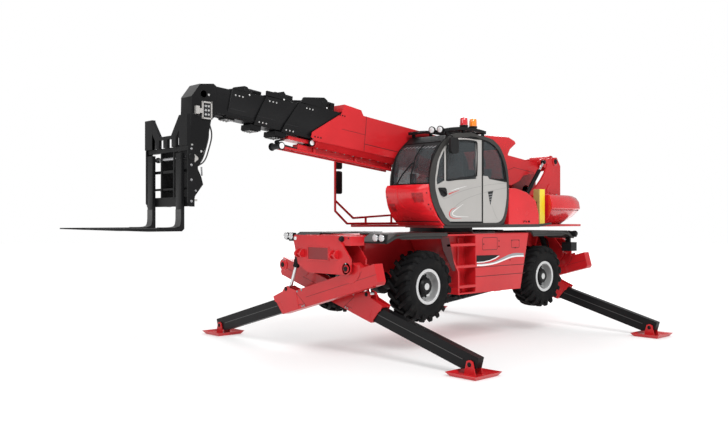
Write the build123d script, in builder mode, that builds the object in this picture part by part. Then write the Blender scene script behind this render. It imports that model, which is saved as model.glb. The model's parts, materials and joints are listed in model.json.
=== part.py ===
from build123d import *
import os
from math import cos, sin, tan, radians, degrees, atan2, hypot

# Rotating telehandler, parked on its four outrigger feet with the wheels clear of the ground.
# Millimetres. +X forward (fork tips), +Y to the machine's left (cab side), +Z up, floor at Z = 0.
# The origin is on the floor, midway along the machine's overall length. Sizes along the machine
# are measured from the slewing axis, which stands at X = MID.

# ---- overall ----
FORK_TIP = 7185.0
TAIL = -3760.0
MID = -(FORK_TIP + TAIL) / 2

# ---- wheels ----
AXLE_X = 1715.0
WHEEL_Z = 1092.0
TYRE_R = 602.0
TYRE_IN_Y = 785.0
TYRE_OUT_Y = 1240.0
RIM_R = 262.0
FLANGE_R = 298.0
KINGPIN_Y = 720.0
SPINDLE_R = 75.0

# ---- outriggers: one row each, the plane they swing in and the side their foot reaches ----
LEG_NEAR_X = 2690.0
LEG_FAR_X = 3030.0
LEG_SLOPE = 15.5
LEG_PIVOT_Y = 808.0
LEG_PIVOT_Z = 1435.0
SLEEVE_BACK = -550.0
SLEEVE_TOP = -50.0
SLEEVE_BOTTOM = -375.0
SLEEVE_WIDTH = 180.0
LEG_TOP = -75.0 - 7.0
LEG_BOTTOM = -350.0 + 7.0
LEG_WIDTH = 128.0
LEG_END = 4040.0
LEG_TAIL = 1450.0
FOOT_U = 3935.0
FOOT_V = -221.0
LUG_U = 1690.0
LUG_V = 28.0
RAM_BARREL = 530.0
RAM_ROD = 505.0
RAM_PIN_Y = 468.0
RAM_PIN_Z = 1892.0
#       name,          plane X,     foot side
LEGS = [("front_left", LEG_NEAR_X, 1),
        ("front_right", LEG_FAR_X, -1),
        ("rear_left", -LEG_NEAR_X, 1),
        ("rear_right", -LEG_FAR_X, -1)]
#         name,          axle X,   side
WHEELS = [("front_left", AXLE_X, 1),
          ("front_right", AXLE_X, -1),
          ("rear_left", -AXLE_X, 1),
          ("rear_right", -AXLE_X, -1)]

# ---- chassis ----
DECK_Z = 1960.0
BOX_OUT_Y = 1220.0
BOX_IN_Y = 420.0
BOX_TOP_Z = 1955.0
BOX_LOW_Z = 905.0
PLATE_FRONT_X = 3200.0
RING_TOP_Z = 2060.0

# ---- turret ----
BASE_LOW_Z = 2068.0
BASE_TOP_Z = 2110.0
CHEEK_IN_Y = 300.0
CHEEK_OUT_Y = 345.0
BOOM_PIVOT_X = -3420.0
BOOM_PIVOT_Z = 3485.0
BOOM_PIN_R = 60.0
CAB_IN_Y = 290.0
CAB_OUT_Y = 1200.0
CAB_WALL = 45.0
DOOR_REAR_X = 266.0

# ---- boom ----
BOOM_RISE = 6.0
#           half width, top n, low n, wall, tail s
SECTIONS = [(245.0, -108.0, -712.0, 12.0, 900.0),
            (220.0, -152.0, -684.0, 12.0, 1250.0),
            (195.0, -180.0, -662.0, 10.0, 1280.0),
            (170.0, -208.0, -640.0, 10.0, 1310.0),
            (145.0, -236.0, -618.0, 10.0, 1340.0)]
LIFT_FOOT_X = -3400.0
LIFT_FOOT_Z = 2450.0
LIFT_LUG_S = 1600.0
LIFT_LUG_N = -940.0
LIFT_BARREL = 1475.0
LIFT_ROD = 1470.0
TILT_X = 5575.0
TILT_Z = 3077.0

# ---- fork carriage ----
FORK_FACE_X = 5900.0
FORK_Y = 400.0
FORK_WIDTH = 150.0
FORK_TOP_Z = 2100.0


# ---- planes ----
def side(y):
    """Drawing plane at width y: its x runs forward from the slewing axis, its y runs up."""
    return Plane(origin=(MID, y, 0), x_dir=(1, 0, 0), z_dir=(0, -1, 0))


def across(x):
    """Drawing plane square to the machine at length x: its x runs to the left, its y runs up."""
    return Plane(origin=(MID + x, 0, 0), x_dir=(0, 1, 0), z_dir=(1, 0, 0))


def level(z):
    """Drawing plane at height z: its x runs forward, its y runs to the left."""
    return Plane(origin=(MID, 0, z), x_dir=(1, 0, 0), z_dir=(0, 0, 1))


def boom_side(y):
    """Drawing plane along the boom: its x runs out from the boom's foot pin, its y runs up."""
    rise = radians(BOOM_RISE)
    return Plane(origin=(MID + BOOM_PIVOT_X, y, BOOM_PIVOT_Z), x_dir=(cos(rise), 0, sin(rise)),
                 z_dir=(0, -1, 0))


def leg_plane(x, foot_side):
    """Drawing plane of an outrigger: its x runs down to the foot from the pivot, its y runs up."""
    slope = radians(LEG_SLOPE)
    return Plane(origin=(MID + x, -foot_side * LEG_PIVOT_Y, LEG_PIVOT_Z),
                 x_dir=(0, foot_side * cos(slope), -sin(slope)), z_dir=(foot_side, 0, 0))


def ram_plane(x, foot_side):
    """Drawing plane of an outrigger's cylinder: its x runs from the upper pin to the lug."""
    top = leg_plane(x, foot_side)
    lug = top.from_local_coords(Vector(LUG_U, LUG_V, 0))
    pin = Vector(MID + x, foot_side * RAM_PIN_Y, RAM_PIN_Z)
    return Plane(origin=pin, x_dir=lug - pin, z_dir=(foot_side, 0, 0)), (lug - pin).length


def lift_plane():
    """Drawing plane of the lift cylinder: its x runs from the foot pin to the boom's lug."""
    lug = boom_side(0).from_local_coords(Vector(LIFT_LUG_S, LIFT_LUG_N, 0))
    pin = Vector(MID + LIFT_FOOT_X, 0, LIFT_FOOT_Z)
    return Plane(origin=pin, x_dir=lug - pin, z_dir=(0, -1, 0)), (lug - pin).length


# ---- shared shapes ----
def slab(plane, points, thick, mode=Mode.ADD):
    """A flat plate of any straight-sided outline, centred on its plane."""
    with BuildSketch(plane) as face:
        with BuildLine():
            Polyline(*points, close=True)
        make_face()
    extrude(face.sketch, amount=thick / 2, both=True, mode=mode)


def disc(plane, centre, radius, thick, mode=Mode.ADD):
    """A round boss, pin or bore, centred on its plane."""
    with BuildSketch(plane) as face:
        with Locations(centre):
            Circle(radius)
    extrude(face.sketch, amount=thick / 2, both=True, mode=mode)


def block(x, y, z, mode=Mode.ADD):
    """A box from its low and high limits on each axis, x counted from the slewing axis."""
    with BuildSketch(level(z[0])) as face:
        with Locations(((x[0] + x[1]) / 2, (y[0] + y[1]) / 2)):
            Rectangle(x[1] - x[0], y[1] - y[0])
    extrude(face.sketch, amount=z[1] - z[0], mode=mode)


def rod(start, end, radius, mode=Mode.ADD):
    """A round bar between two points, x counted from the slewing axis."""
    a = Vector(MID + start[0], start[1], start[2])
    b = Vector(MID + end[0], end[1], end[2])
    with BuildSketch(Plane(origin=a, z_dir=b - a)) as face:
        Circle(radius)
    extrude(face.sketch, amount=(b - a).length, mode=mode)


def store(piece, name):
    """Name a finished piece and write it."""
    piece.label = name
    export_step(piece, f"parts/{name}.step")


os.makedirs("parts", exist_ok=True)


# ---- chassis frame: central box, slewing ring seat and the two outrigger housings ----
HOUSING_PLATES = [(PLATE_FRONT_X - 15, 1), (2860.0, 0), (2505.0, -1)]
HALF_PLATE = [(-517, 1930), (-517, 1841), (-406, 1473), (-152, 1336), (700, 1336), (808, 1345),
              (885, 1390), (907, 1435), (907, 1584), (595, 1953), (-490, 1953)]

with BuildPart() as chassis_frame:
    block((-1100, 1100), (-415, 415), (1100, 1880))
    block((-2490, 2490), (-375, 375), (1300, 1700))
    block((-2490, 2490), (-375, 375), (1700, DECK_Z))
    disc(level(DECK_Z + 7), (0, 0), 620, 22)
    for end in (1, -1):
        block(sorted((end * 2400, end * 3171)), (-300, 300), (1500, 1930))
        for x, lean in HOUSING_PLATES:
            if lean:
                slab(across(end * x), [(lean * y, z) for y, z in HALF_PLATE], 30)
            else:
                slab(across(end * x), [(-907, 1435), (-907, 1584), (-595, 1953), (595, 1953),
                                       (907, 1584), (907, 1435), (808, 1336), (-808, 1336)], 30)
        disc(across(end * LEG_FAR_X), (LEG_PIVOT_Y, LEG_PIVOT_Z), 45, 338)
        disc(across(end * LEG_NEAR_X), (-LEG_PIVOT_Y, LEG_PIVOT_Z), 45, 354)
        disc(across(end * LEG_FAR_X), (-RAM_PIN_Y, RAM_PIN_Z), 25, 338)
        disc(across(end * LEG_NEAR_X), (RAM_PIN_Y, RAM_PIN_Z), 25, 354)
store(chassis_frame.part, "chassis_frame")

# ---- side boxes: tanks and lockers between the wheels, the left one with the steps ----
BOX_SIDE = [(-1142, BOX_TOP_Z), (1393, BOX_TOP_Z), (965, 1298), (957, BOX_LOW_Z), (-876, BOX_LOW_Z)]
RUNG_Z = (1774, 1394, 1044)
with BuildPart() as side_boxes:
    for hand in (1, -1):
        depth = BOX_OUT_Y - BOX_IN_Y
        slab(side(hand * (BOX_OUT_Y + BOX_IN_Y) / 2), BOX_SIDE, depth)
    slab(side(BOX_OUT_Y - 125), [(481, 1930), (1330, 1930), (930, 1298), (920, 930), (481, 930)], 252,
         Mode.SUBTRACT)
    for z in RUNG_Z:
        front = 960 if z < 1298 else 970 + (z - 1298) * 0.62
        block((480, front), (1120, BOX_OUT_Y), (z - 15, z + 15))
store(side_boxes.part, "side_boxes")

# ---- mudguards: deck plates over the wheels with a drooping outer end ----
with BuildPart() as mudguards:
    for end in (1, -1):
        for hand in (1, -1):
            block(sorted((end * 1250, end * 2480)), sorted((hand * 340, hand * 1230)), (DECK_Z, DECK_Z + 28))
            slab(side(hand * 925), [(end * 2480, DECK_Z), (end * 2730, 1830), (end * 2745, 1855),
                                    (end * 2500, DECK_Z + 28), (end * 2480, DECK_Z + 28)], 610)
store(mudguards.part, "mudguards")

# ---- slewing ring ----
with BuildPart() as slew_ring:
    with BuildSketch(level(1979)):
        Circle(600)
        Circle(430, mode=Mode.SUBTRACT)
    extrude(amount=RING_TOP_Z - 1979)
store(slew_ring.part, "slew_ring")

# ---- axles: casing, differential and the forks that hold the kingpins ----
with BuildPart() as axles:
    for end in (1, -1):
        disc(side(0), (end * AXLE_X, WHEEL_Z), 105, 1260)
        disc(side(0), (end * AXLE_X, WHEEL_Z), 190, 330)
        block(sorted((end * (AXLE_X - 90), end * (AXLE_X + 90))), (-150, 150), (1200, 1300))
        for hand in (1, -1):
            for z in (150, -150):
                disc(level(WHEEL_Z + z), (end * AXLE_X, hand * KINGPIN_Y), 65, 36)
                disc(level(WHEEL_Z + z * 0.7), (end * AXLE_X, hand * KINGPIN_Y), 30, 60)
            slab(side(hand * 620), [(end * AXLE_X - 65, WHEEL_Z - 168), (end * AXLE_X + 65, WHEEL_Z - 168),
                                    (end * AXLE_X + 65, WHEEL_Z + 168), (end * AXLE_X - 65, WHEEL_Z + 168)], 40)
            for z in (150, -150):
                block((end * AXLE_X - 65, end * AXLE_X + 65), sorted((hand * 600, hand * KINGPIN_Y)),
                      (WHEEL_Z + z - 18, WHEEL_Z + z + 18))
store(axles.part, "axles")

# ---- work lamps on the mudguards' front ends ----
LAMP_Y = (1060, 1185)
with BuildPart() as chassis_lamps:
    for end in (1, -1):
        for hand in (1, -1):
            block(sorted((end * 2746, end * 2776)), sorted((hand * 980, hand * 1230)), (1840, 1975))
            for y in LAMP_Y:
                disc(across(end * 2800), (hand * y, 1920), 52, 48)
store(chassis_lamps.part, "chassis_lamps")

# ---- knuckles, rims and tyres ----
for name, x, hand in WHEELS:
    with BuildPart() as knuckle:
        disc(level(WHEEL_Z), (x, hand * KINGPIN_Y), 68, 250)
        disc(side(hand * (KINGPIN_Y + 165)), (x, WHEEL_Z), SPINDLE_R, 330)
        for z in (100, -100):
            disc(level(WHEEL_Z + z), (x, hand * KINGPIN_Y), 30.5, 66, Mode.SUBTRACT)
    store(knuckle.part, f"knuckle_{name}")

    axis = Plane(origin=(MID + x, 0, WHEEL_Z), x_dir=(1, 0, 0), z_dir=(0, 0, 1))
    spin = Axis((MID + x, 0, WHEEL_Z), (0, 1, 0))
    with BuildPart() as rim:
        with BuildSketch(axis):
            with BuildLine():
                #          radius, width position
                Polyline(*[(r, hand * y) for r, y in
                           [(SPINDLE_R + 0.5, 930), (140, 930), (140, 1020), (RIM_R - 14, 1020), (RIM_R - 14, 800),
                            (FLANGE_R, 800), (FLANGE_R, 812), (RIM_R, 812), (RIM_R, 1195), (FLANGE_R, 1195),
                            (FLANGE_R, 1207), (RIM_R - 14, 1207), (RIM_R - 14, 1045), (140, 1045), (140, 1150),
                            (110, 1175), (0, 1175), (0, 1060), (SPINDLE_R + 0.5, 1060)]], close=True)
            make_face()
        revolve(axis=spin)
    store(rim.part, f"rim_{name}")

    with BuildPart() as tyre:
        with BuildSketch(axis):
            with BuildLine():
                Polyline(*[(r, hand * y) for r, y in
                           [(RIM_R + 0.5, 813), (FLANGE_R + 8, 813), (FLANGE_R + 60, TYRE_IN_Y), (500, TYRE_IN_Y),
                            (580, TYRE_IN_Y + 35), (TYRE_R, TYRE_IN_Y + 90), (TYRE_R, TYRE_OUT_Y - 90),
                            (580, TYRE_OUT_Y - 35), (500, TYRE_OUT_Y), (FLANGE_R + 60, TYRE_OUT_Y),
                            (FLANGE_R + 8, 1194), (RIM_R + 0.5, 1194)]], close=True)
            make_face()
        revolve(axis=spin)
    store(tyre.part, f"tyre_{name}")

# ---- outriggers: sleeve, telescopic leg, foot and the cylinder that lowers them ----
for name, x, foot in LEGS:
    plane = leg_plane(x, foot)
    with BuildPart() as sleeve:
        slab(plane, [(SLEEVE_BACK, SLEEVE_TOP), (2070, SLEEVE_TOP), (1910, SLEEVE_BOTTOM),
                     (SLEEVE_BACK + 40, SLEEVE_BOTTOM), (SLEEVE_BACK, SLEEVE_BOTTOM + 40)], SLEEVE_WIDTH)
        slab(plane, [(SLEEVE_BACK + 20, -75), (2200, -75), (2200, -350), (SLEEVE_BACK + 20, -350)], 140,
             Mode.SUBTRACT)
        slab(plane, [(-190, SLEEVE_TOP), (-75, 78), (75, 78), (190, SLEEVE_TOP)], SLEEVE_WIDTH)
        for x_side in (-1, 1):
            slab(plane.offset(x_side * 70), [(LUG_U - 110, SLEEVE_TOP), (LUG_U - 45, LUG_V + 45),
                                             (LUG_U + 45, LUG_V + 45), (LUG_U + 110, SLEEVE_TOP)], 18)
            disc(plane.offset(x_side * 74), (LUG_U, LUG_V), 26, 30)
        disc(plane, (LUG_U, LUG_V), 100, 116, Mode.SUBTRACT)
        slab(plane, [(LUG_U - 150, SLEEVE_TOP), (LUG_U + 150, SLEEVE_TOP), (LUG_U + 150, -75),
                     (LUG_U - 150, -75)], SLEEVE_WIDTH)
        disc(plane, (0, 0), 45.6, 400, Mode.SUBTRACT)
    store(sleeve.part, f"sleeve_{name}")

    with BuildPart() as leg:
        slab(plane, [(LEG_TAIL, LEG_TOP), (LEG_END, LEG_TOP), (LEG_END, -240), (3800, LEG_BOTTOM),
                     (LEG_TAIL, LEG_BOTTOM)], LEG_WIDTH)
        disc(plane, (FOOT_U, FOOT_V), 30.6, 400, Mode.SUBTRACT)
    store(leg.part, f"leg_{name}")

    pin = plane.from_local_coords(Vector(FOOT_U, FOOT_V, 0))
    with BuildPart() as foot_pad:
        with BuildSketch(Plane.XY) as sole:
            with Locations((pin.X, pin.Y)):
                Rectangle(494, 462)
        with BuildSketch(Plane.XY.offset(62)) as brim:
            with Locations((pin.X, pin.Y)):
                Rectangle(600, 560)
        loft([sole.sketch, brim.sketch])
        with BuildSketch(Plane.XY.offset(25)) as tray:
            with Locations((pin.X, pin.Y)):
                Rectangle(500, 468)
        with BuildSketch(Plane.XY.offset(62.001)) as mouth:
            with Locations((pin.X, pin.Y)):
                Rectangle(580, 540)
        loft([tray.sketch, mouth.sketch], mode=Mode.SUBTRACT)
        for x_side in (-1, 1):
            ear = Plane(origin=(pin.X + x_side * 82, pin.Y, 0), x_dir=(0, 1, 0), z_dir=(1, 0, 0))
            slab(ear, [(-100, 20), (-55, pin.Z + 45), (55, pin.Z + 45), (100, 20)], 22)
        disc(Plane(origin=pin, x_dir=(0, 1, 0), z_dir=(1, 0, 0)), (0, 0), 30, 200)
    store(foot_pad.part, f"foot_{name}")

    ram, ram_length = ram_plane(x, foot)
    with BuildPart() as barrel:
        disc(ram, (0, 0), 52, 60)
        with BuildSketch(Plane(origin=ram.from_local_coords(Vector(30, 0, 0)), z_dir=ram.x_dir)) as tube:
            Circle(55)
        extrude(tube.sketch, amount=RAM_BARREL - 30)
        with BuildSketch(Plane(origin=ram.from_local_coords(Vector(70, 0, 0)), z_dir=ram.x_dir)) as bore:
            Circle(31)
        extrude(bore.sketch, amount=RAM_BARREL, mode=Mode.SUBTRACT)
        disc(ram, (0, 0), 25.6, 100, Mode.SUBTRACT)
    store(barrel.part, f"leg_barrel_{name}")

    with BuildPart() as piston:
        with BuildSketch(Plane(origin=ram.from_local_coords(Vector(ram_length - RAM_ROD, 0, 0)),
                               z_dir=ram.x_dir)) as bar:
            Circle(30)
        extrude(bar.sketch, amount=RAM_ROD - 30)
        disc(ram, (ram_length, 0), 42, 106)
        disc(ram, (ram_length, 0), 24, 130, Mode.SUBTRACT)
    store(piston.part, f"leg_rod_{name}")

# ---- turret frame: base plate, two cheeks that carry the boom, rear and front cross walls ----
with BuildPart() as turret_frame:
    slab(level((BASE_LOW_Z + BASE_TOP_Z) / 2), [(1350, 330), (1350, 1180), (-1560, 1180), (-1700, 1060), (-3300, 1060),
                                                (-3600, 640), (-3600, -640), (-3300, -1060), (-3290, -1160),
                                                (1300, -1160), (1300, -1000), (620, -560), (620, 330)],
         BASE_TOP_Z - BASE_LOW_Z)
    for hand, front in ((1, -560), (-1, 600)):
        cheek = side(hand * (CHEEK_IN_Y + CHEEK_OUT_Y) / 2)
        slab(cheek, [(-3650, 2140), (-3650, 3400), (-3505, 3582), (-3362, 3572), (-3068, 3520), (-3068, 3480),
                     (-3126, 3397), (-3040, 3220), (-2895, 3062), (-2700, 2900), (-2483, 2814), (-2250, 2785),
                     (-2013, 2802), (-1500, 2560), (front, 2400), (front, BASE_TOP_Z), (-3300, BASE_TOP_Z)],
             CHEEK_OUT_Y - CHEEK_IN_Y)
    block((-3650, -3610), (-CHEEK_IN_Y, CHEEK_IN_Y), (2140, 2900))
    block((-600, -560), (-CHEEK_IN_Y, CHEEK_IN_Y), (BASE_TOP_Z, 2350))
    for hand in (1, -1):
        disc(side(hand * (CHEEK_IN_Y + CHEEK_OUT_Y) / 2), (-3263, 2843), 140, 100, Mode.SUBTRACT)
    disc(side(0), (BOOM_PIVOT_X, BOOM_PIVOT_Z), BOOM_PIN_R, 2 * CHEEK_OUT_Y + 40)
    disc(side(0), (LIFT_FOOT_X, LIFT_FOOT_Z), 40, 2 * CHEEK_IN_Y)
store(turret_frame.part, "turret_frame")

# ---- counterweight round the back of the turret ----
with BuildPart() as counterweight:
    with BuildSketch(level(BASE_TOP_Z)):
        with BuildLine():
            Polyline((-2100, 350), (-2100, 1130), (-2900, 1160), (-3400, 1020), (-3700, 640), (TAIL, 300),
                     (TAIL, -300), (-3700, -640), (-3400, -1020), (-3310, -1100), (-3310, -350), (-3655, -350),
                     (-3655, 350), close=True)
        make_face()
    extrude(amount=590)
store(counterweight.part, "counterweight")

# ---- moulded covers: left hood behind the cab, engine hood on the right, nose under the windscreen ----
HOOD_SIDE = [(-560, BASE_TOP_Z), (-560, 2800), (-809, 2798), (-1142, 2733), (-1440, 2577), (-1549, 2314),
             (-1549, BASE_TOP_Z)]
ENGINE_SIDE = [(-400, BASE_TOP_Z), (-400, 2900), (-1200, 3750), (-1860, 4010), (-2700, 4030), (-2930, 3960), (-2970, 3900),
               (-2750, 3760), (-2680, 3650), (-2740, 3300), (-3290, 2900), (-3290, BASE_TOP_Z)]
ENGINE_HOLLOW = [(-460, 2100), (-460, 2870), (-1230, 3680), (-1880, 3940), (-2600, 3950), (-2600, 3300), (-3200, 2860),
                 (-3200, 2100)]
NOSE_SIDE = [(1685, 2800), (1790, 2770), (1830, 2700), (1770, 2430), (1670, 2255), (1510, BASE_TOP_Z),
             (1300, BASE_TOP_Z), (1470, 2255), (1605, 2480), (1675, 2720)]
with BuildPart() as turret_covers:
    slab(side(775), HOOD_SIDE, 830)
    slab(side(-755), ENGINE_SIDE, 790)
    slab(side(-755), ENGINE_HOLLOW, 710, Mode.SUBTRACT)
    slab(side(745), NOSE_SIDE, 900)
store(turret_covers.part, "turret_covers")

with BuildPart() as engine_block:
    block((-2400, -1200), (-1000, -500), (BASE_TOP_Z, 2850))
store(engine_block.part, "engine_block")

# ---- cab shell ----
CAB_SIDE = [(1278, BASE_TOP_Z), (1450, 2260), (1590, 2480), (1660, 2720), (1665, 2900), (1640, 3080), (1576, 3300),
            (1470, 3440), (1348, 3546), (1184, 3667), (848, 3714), (286, 3718), (-60, 3670), (-270, 3553),
            (-400, 3330), (-500, 3000), (-523, 2700), (-480, 2400), (-400, BASE_TOP_Z)]
CAB_HOLLOW = [(1250, 2165), (1410, 2290), (1545, 2495), (1612, 2725), (1617, 2895), (1593, 3065), (1532, 3278),
              (1435, 3405), (1320, 3505), (1165, 3622), (840, 3668), (290, 3672), (-45, 3625), (-232, 3527),
              (-356, 3315), (-453, 2990), (-476, 2700), (-434, 2400), (-362, 2165)]
DOOR_EDGE = [(DOOR_REAR_X, 2165), (1150, 2165), (1268, 2240), (1441, 2466), (1545, 2740), (1548, 2873), (1464, 3229),
             (1340, 3420), (1197, 3548), (938, 3634), (DOOR_REAR_X, 3645)]
CAB_MID_Y = (CAB_IN_Y + CAB_OUT_Y) / 2
with BuildPart() as cab_frame:
    slab(side(CAB_MID_Y), CAB_SIDE, CAB_OUT_Y - CAB_IN_Y)
    slab(side(CAB_MID_Y), CAB_HOLLOW, CAB_OUT_Y - CAB_IN_Y - 2 * CAB_WALL, Mode.SUBTRACT)
    # door opening, rear quarter window, right window
    slab(side(CAB_OUT_Y), DOOR_EDGE, 3 * CAB_WALL, Mode.SUBTRACT)
    slab(side(CAB_OUT_Y), [(215, 2960), (215, 3625), (-60, 3600), (-225, 3500), (-340, 3290), (-410, 2960)],
         3 * CAB_WALL, Mode.SUBTRACT)
    slab(side(CAB_IN_Y), [(-380, 2750), (-290, 3290), (-180, 3480), (0, 3600), (1130, 3580), (1300, 3450), (1480, 3250),
                          (1570, 2850), (1500, 2750)], 3 * CAB_WALL, Mode.SUBTRACT)
    # windscreen, roof and rear openings
    block((1300, 1800), (CAB_IN_Y + CAB_WALL, CAB_OUT_Y - CAB_WALL), (2830, 3540), Mode.SUBTRACT)
    block((100, 950), (CAB_IN_Y + 110, CAB_OUT_Y - 110), (3640, 3800), Mode.SUBTRACT)
    block((-600, -230), (CAB_IN_Y + CAB_WALL, CAB_OUT_Y - CAB_WALL), (2960, 3500), Mode.SUBTRACT)
store(cab_frame.part, "cab_frame")

GLASS = 8.0
with BuildPart() as cab_glass:
    slab(side(CAB_MID_Y), [(1655, 2832), (1655, 2900), (1630, 3078), (1566, 3296), (1462, 3434), (1350, 3530),
                           (1343, 3523), (1455, 3427), (1558, 3290), (1621, 3075), (1646, 2898), (1646, 2832)],
         CAB_OUT_Y - CAB_IN_Y - 2 * CAB_WALL - 2)
    slab(side(CAB_OUT_Y - 20), [(214, 2961), (214, 3624), (-60, 3599), (-224, 3499), (-339, 3289), (-409, 2961)], GLASS)
    slab(side(CAB_IN_Y + 20), [(-379, 2751), (-289, 3289), (-179, 3479), (1, 3599), (1129, 3579), (1299, 3449),
                               (1479, 3249), (1569, 2851), (1499, 2751)], GLASS)
    block((101, 949), (CAB_IN_Y + 111, CAB_OUT_Y - 111), (3685, 3693))
    slab(side(CAB_MID_Y), [(-497, 2962), (-489, 2962), (-395, 3320), (-300, 3498), (-308, 3498), (-405, 3322)],
         CAB_OUT_Y - CAB_IN_Y - 2 * CAB_WALL - 2)
store(cab_glass.part, "cab_glass")

with BuildPart() as cab_interior:
    block((-50, 350), (560, 960), (2165, 2420))
    slab(side(760), [(-150, 2420), (420, 2420), (430, 2500), (-60, 2540), (-160, 3150), (-290, 3150), (-220, 2500)], 480)
    slab(side(760), [(1060, 2165), (1240, 2165), (1130, 2780), (1060, 2780)], 160)
    disc(Plane(origin=(MID + 1000, 760, 2860), z_dir=(-0.5, 0, 0.87)), (0, 0), 190, 30)
    rod((1110, 760, 2700), (1010, 760, 2855), 25)
store(cab_interior.part, "cab_interior")

# ---- cab door and its glass ----
GAP = 8.0
DOOR_PANEL = [(DOOR_REAR_X + GAP, 2173), (1147, 2173), (1262, 2247), (1433, 2470), (1537, 2741), (1540, 2873),
              (1457, 3226), (1334, 3415), (1193, 3541), (937, 3626), (DOOR_REAR_X + GAP, 3637)]
DOOR_WINDOW = [(427, 2935), (1302, 2870), (1480, 2800), (1500, 2875), (1420, 3212), (1305, 3392), (1180, 3505),
               (930, 3588), (427, 3596)]
with BuildPart() as cab_door:
    slab(side(CAB_OUT_Y - 20), DOOR_PANEL, 40)
    slab(side(CAB_OUT_Y - 20), DOOR_WINDOW, 80, Mode.SUBTRACT)
store(cab_door.part, "cab_door")

with BuildPart() as door_glass:
    slab(side(CAB_OUT_Y - 20), [(428, 2936), (1302, 2871), (1479, 2801), (1499, 2875), (1419, 3211), (1304, 3391),
                                (1179, 3504), (930, 3587), (428, 3595)], GLASS)
store(door_glass.part, "door_glass")

# ---- beacons and cab lamps ----
with BuildPart() as cab_lamps:
    for x, y in ((700, 980), (420, 980)):
        rod((x, y, 3717.5), (x, y, 3830), 22)
        rod((x, y, 3830), (x, y, 3960), 55)
    for y in (1010, 1120):
        disc(across(1300), (y, 3745), 52, 60)
        slab(side(y), [(1184, 3667), (1348, 3546), (1330, 3710), (1190, 3710)], 40)
store(cab_lamps.part, "cab_lamps")

# ---- mirror guard on the turret's right front ----
GUARD_Y = -1060.0
GUARD_LOW = [(60, 2135), (1490, 2135), (1790, 2370), (1790, 3350)]
GUARD_HIGH = [(280, 2300), (1335, 2240), (1780, 2560)]
with BuildPart() as mirror_guard:
    for path in (GUARD_LOW, GUARD_HIGH):
        for (xa, za), (xb, zb) in zip(path, path[1:]):
            rod((xa, GUARD_Y, za), (xb, GUARD_Y, zb), 22)
    rod((290, GUARD_Y, 2120), (290, GUARD_Y, 2300), 22)
    rod((1000, GUARD_Y, 2135), (1000, GUARD_Y, 2262), 22)
    block((1640, 1775), (GUARD_Y - 20, GUARD_Y + 20), (3165, 3330))
    block((1640, 1775), (GUARD_Y - 20, GUARD_Y + 20), (2700, 3110))
store(mirror_guard.part, "mirror_guard")

# ---- boom base ----
half_width, top_n, low_n, wall, tail = SECTIONS[0]
with BuildPart() as boom_base:
    slab(boom_side(0), [(0, -130), (900, top_n), (5732, top_n), (5794, -23), (6180, -5), (6225, -169), (6815, -587),
                        (6831, -674), (6691, low_n - 8), (6271, low_n), (1400, low_n), (1120, -580),
                        (1000, -450), (500, -310), (-60, -150)], 2 * half_width)
    slab(boom_side(0), [(1180, top_n - 30), (7000, top_n - 30), (7000, low_n + 17), (1440, low_n + 17),
                        (1180, -575)], 2 * (half_width - wall), Mode.SUBTRACT)
    disc(boom_side(0), (0, 0), 140, 2 * half_width)
    disc(boom_side(0), (0, 0), BOOM_PIN_R + 0.6, 800, Mode.SUBTRACT)
    for hand in (1, -1):
        slab(boom_side(hand * 110), [(LIFT_LUG_S - 150, low_n), (LIFT_LUG_S - 70, LIFT_LUG_N - 60),
                                     (LIFT_LUG_S + 70, LIFT_LUG_N - 60), (LIFT_LUG_S + 220, low_n)], 30)
        disc(boom_side(hand * 112), (LIFT_LUG_S, LIFT_LUG_N), 40, 44)
store(boom_base.part, "boom_base")

# ---- telescopic sections 2 to 4: tube and front collar ----
#          front edge points (s, n) down the collar, collar top points back towards the foot
COLLARS = [([(7017, -60), (7062, -140), (7174, -291), (7336, -490), (7373, -678)],
            [(6559, -148), (6524, -17), (6604, 23)], 2),
           ([(7725, -109), (7720, -241), (7867, -477), (7877, -655)],
            [(7250, -160), (7289, -160), (7408, -53), (7558, -105)], 3),
           ([(8297, -182), (8344, -227), (8376, -637)],
            [(8002, -207), (8067, -130), (8118, -123)], 4)]
for front, crest, number in COLLARS:
    half_width, top_n, low_n, wall, tail = SECTIONS[number - 1]
    with BuildPart() as section:
        slab(boom_side(0), [(tail, top_n), (crest[0][0], top_n)] + crest + front +
             [(front[-1][0] - 20, low_n), (tail + 250, low_n), (tail, -540)], 2 * half_width)
        slab(boom_side(0), [(tail - 50, top_n - 16), (9000, top_n - 16), (9000, low_n + 12),
                            (tail - 50, low_n + 12)], 2 * (half_width - wall), Mode.SUBTRACT)
    store(section.part, f"boom_section_{number}")

# ---- boom head: last section and the downward head that carries the carriage ----
half_width, top_n, low_n, wall, tail = SECTIONS[4]
HEAD_SIDE = [(5418, 4156), (5198, 4183), (5150, 4150), (5180, 3700), (5237, 3654), (5275, 3469), (5322, 3299),
             (5420, 3010), (5480, 2960), (5600, 2950), (5662, 3000), (5680, 3077), (5655, 3180), (5590, 3300),
             (5561, 3778), (5557, 3967)]
with BuildPart() as boom_head:
    slab(boom_side(0), [(tail, top_n), (8640, top_n), (8640, low_n), (tail + 250, low_n), (tail, -540)],
         2 * half_width)
    slab(boom_side(0), [(tail - 50, top_n - 12), (8480, top_n - 12), (8480, low_n + 12),
                        (tail - 50, low_n + 12)], 2 * (half_width - wall), Mode.SUBTRACT)
    slab(side(0), HEAD_SIDE, 300)
    disc(side(0), (TILT_X, TILT_Z), 45.6, 400, Mode.SUBTRACT)
store(boom_head.part, "boom_head")

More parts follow.
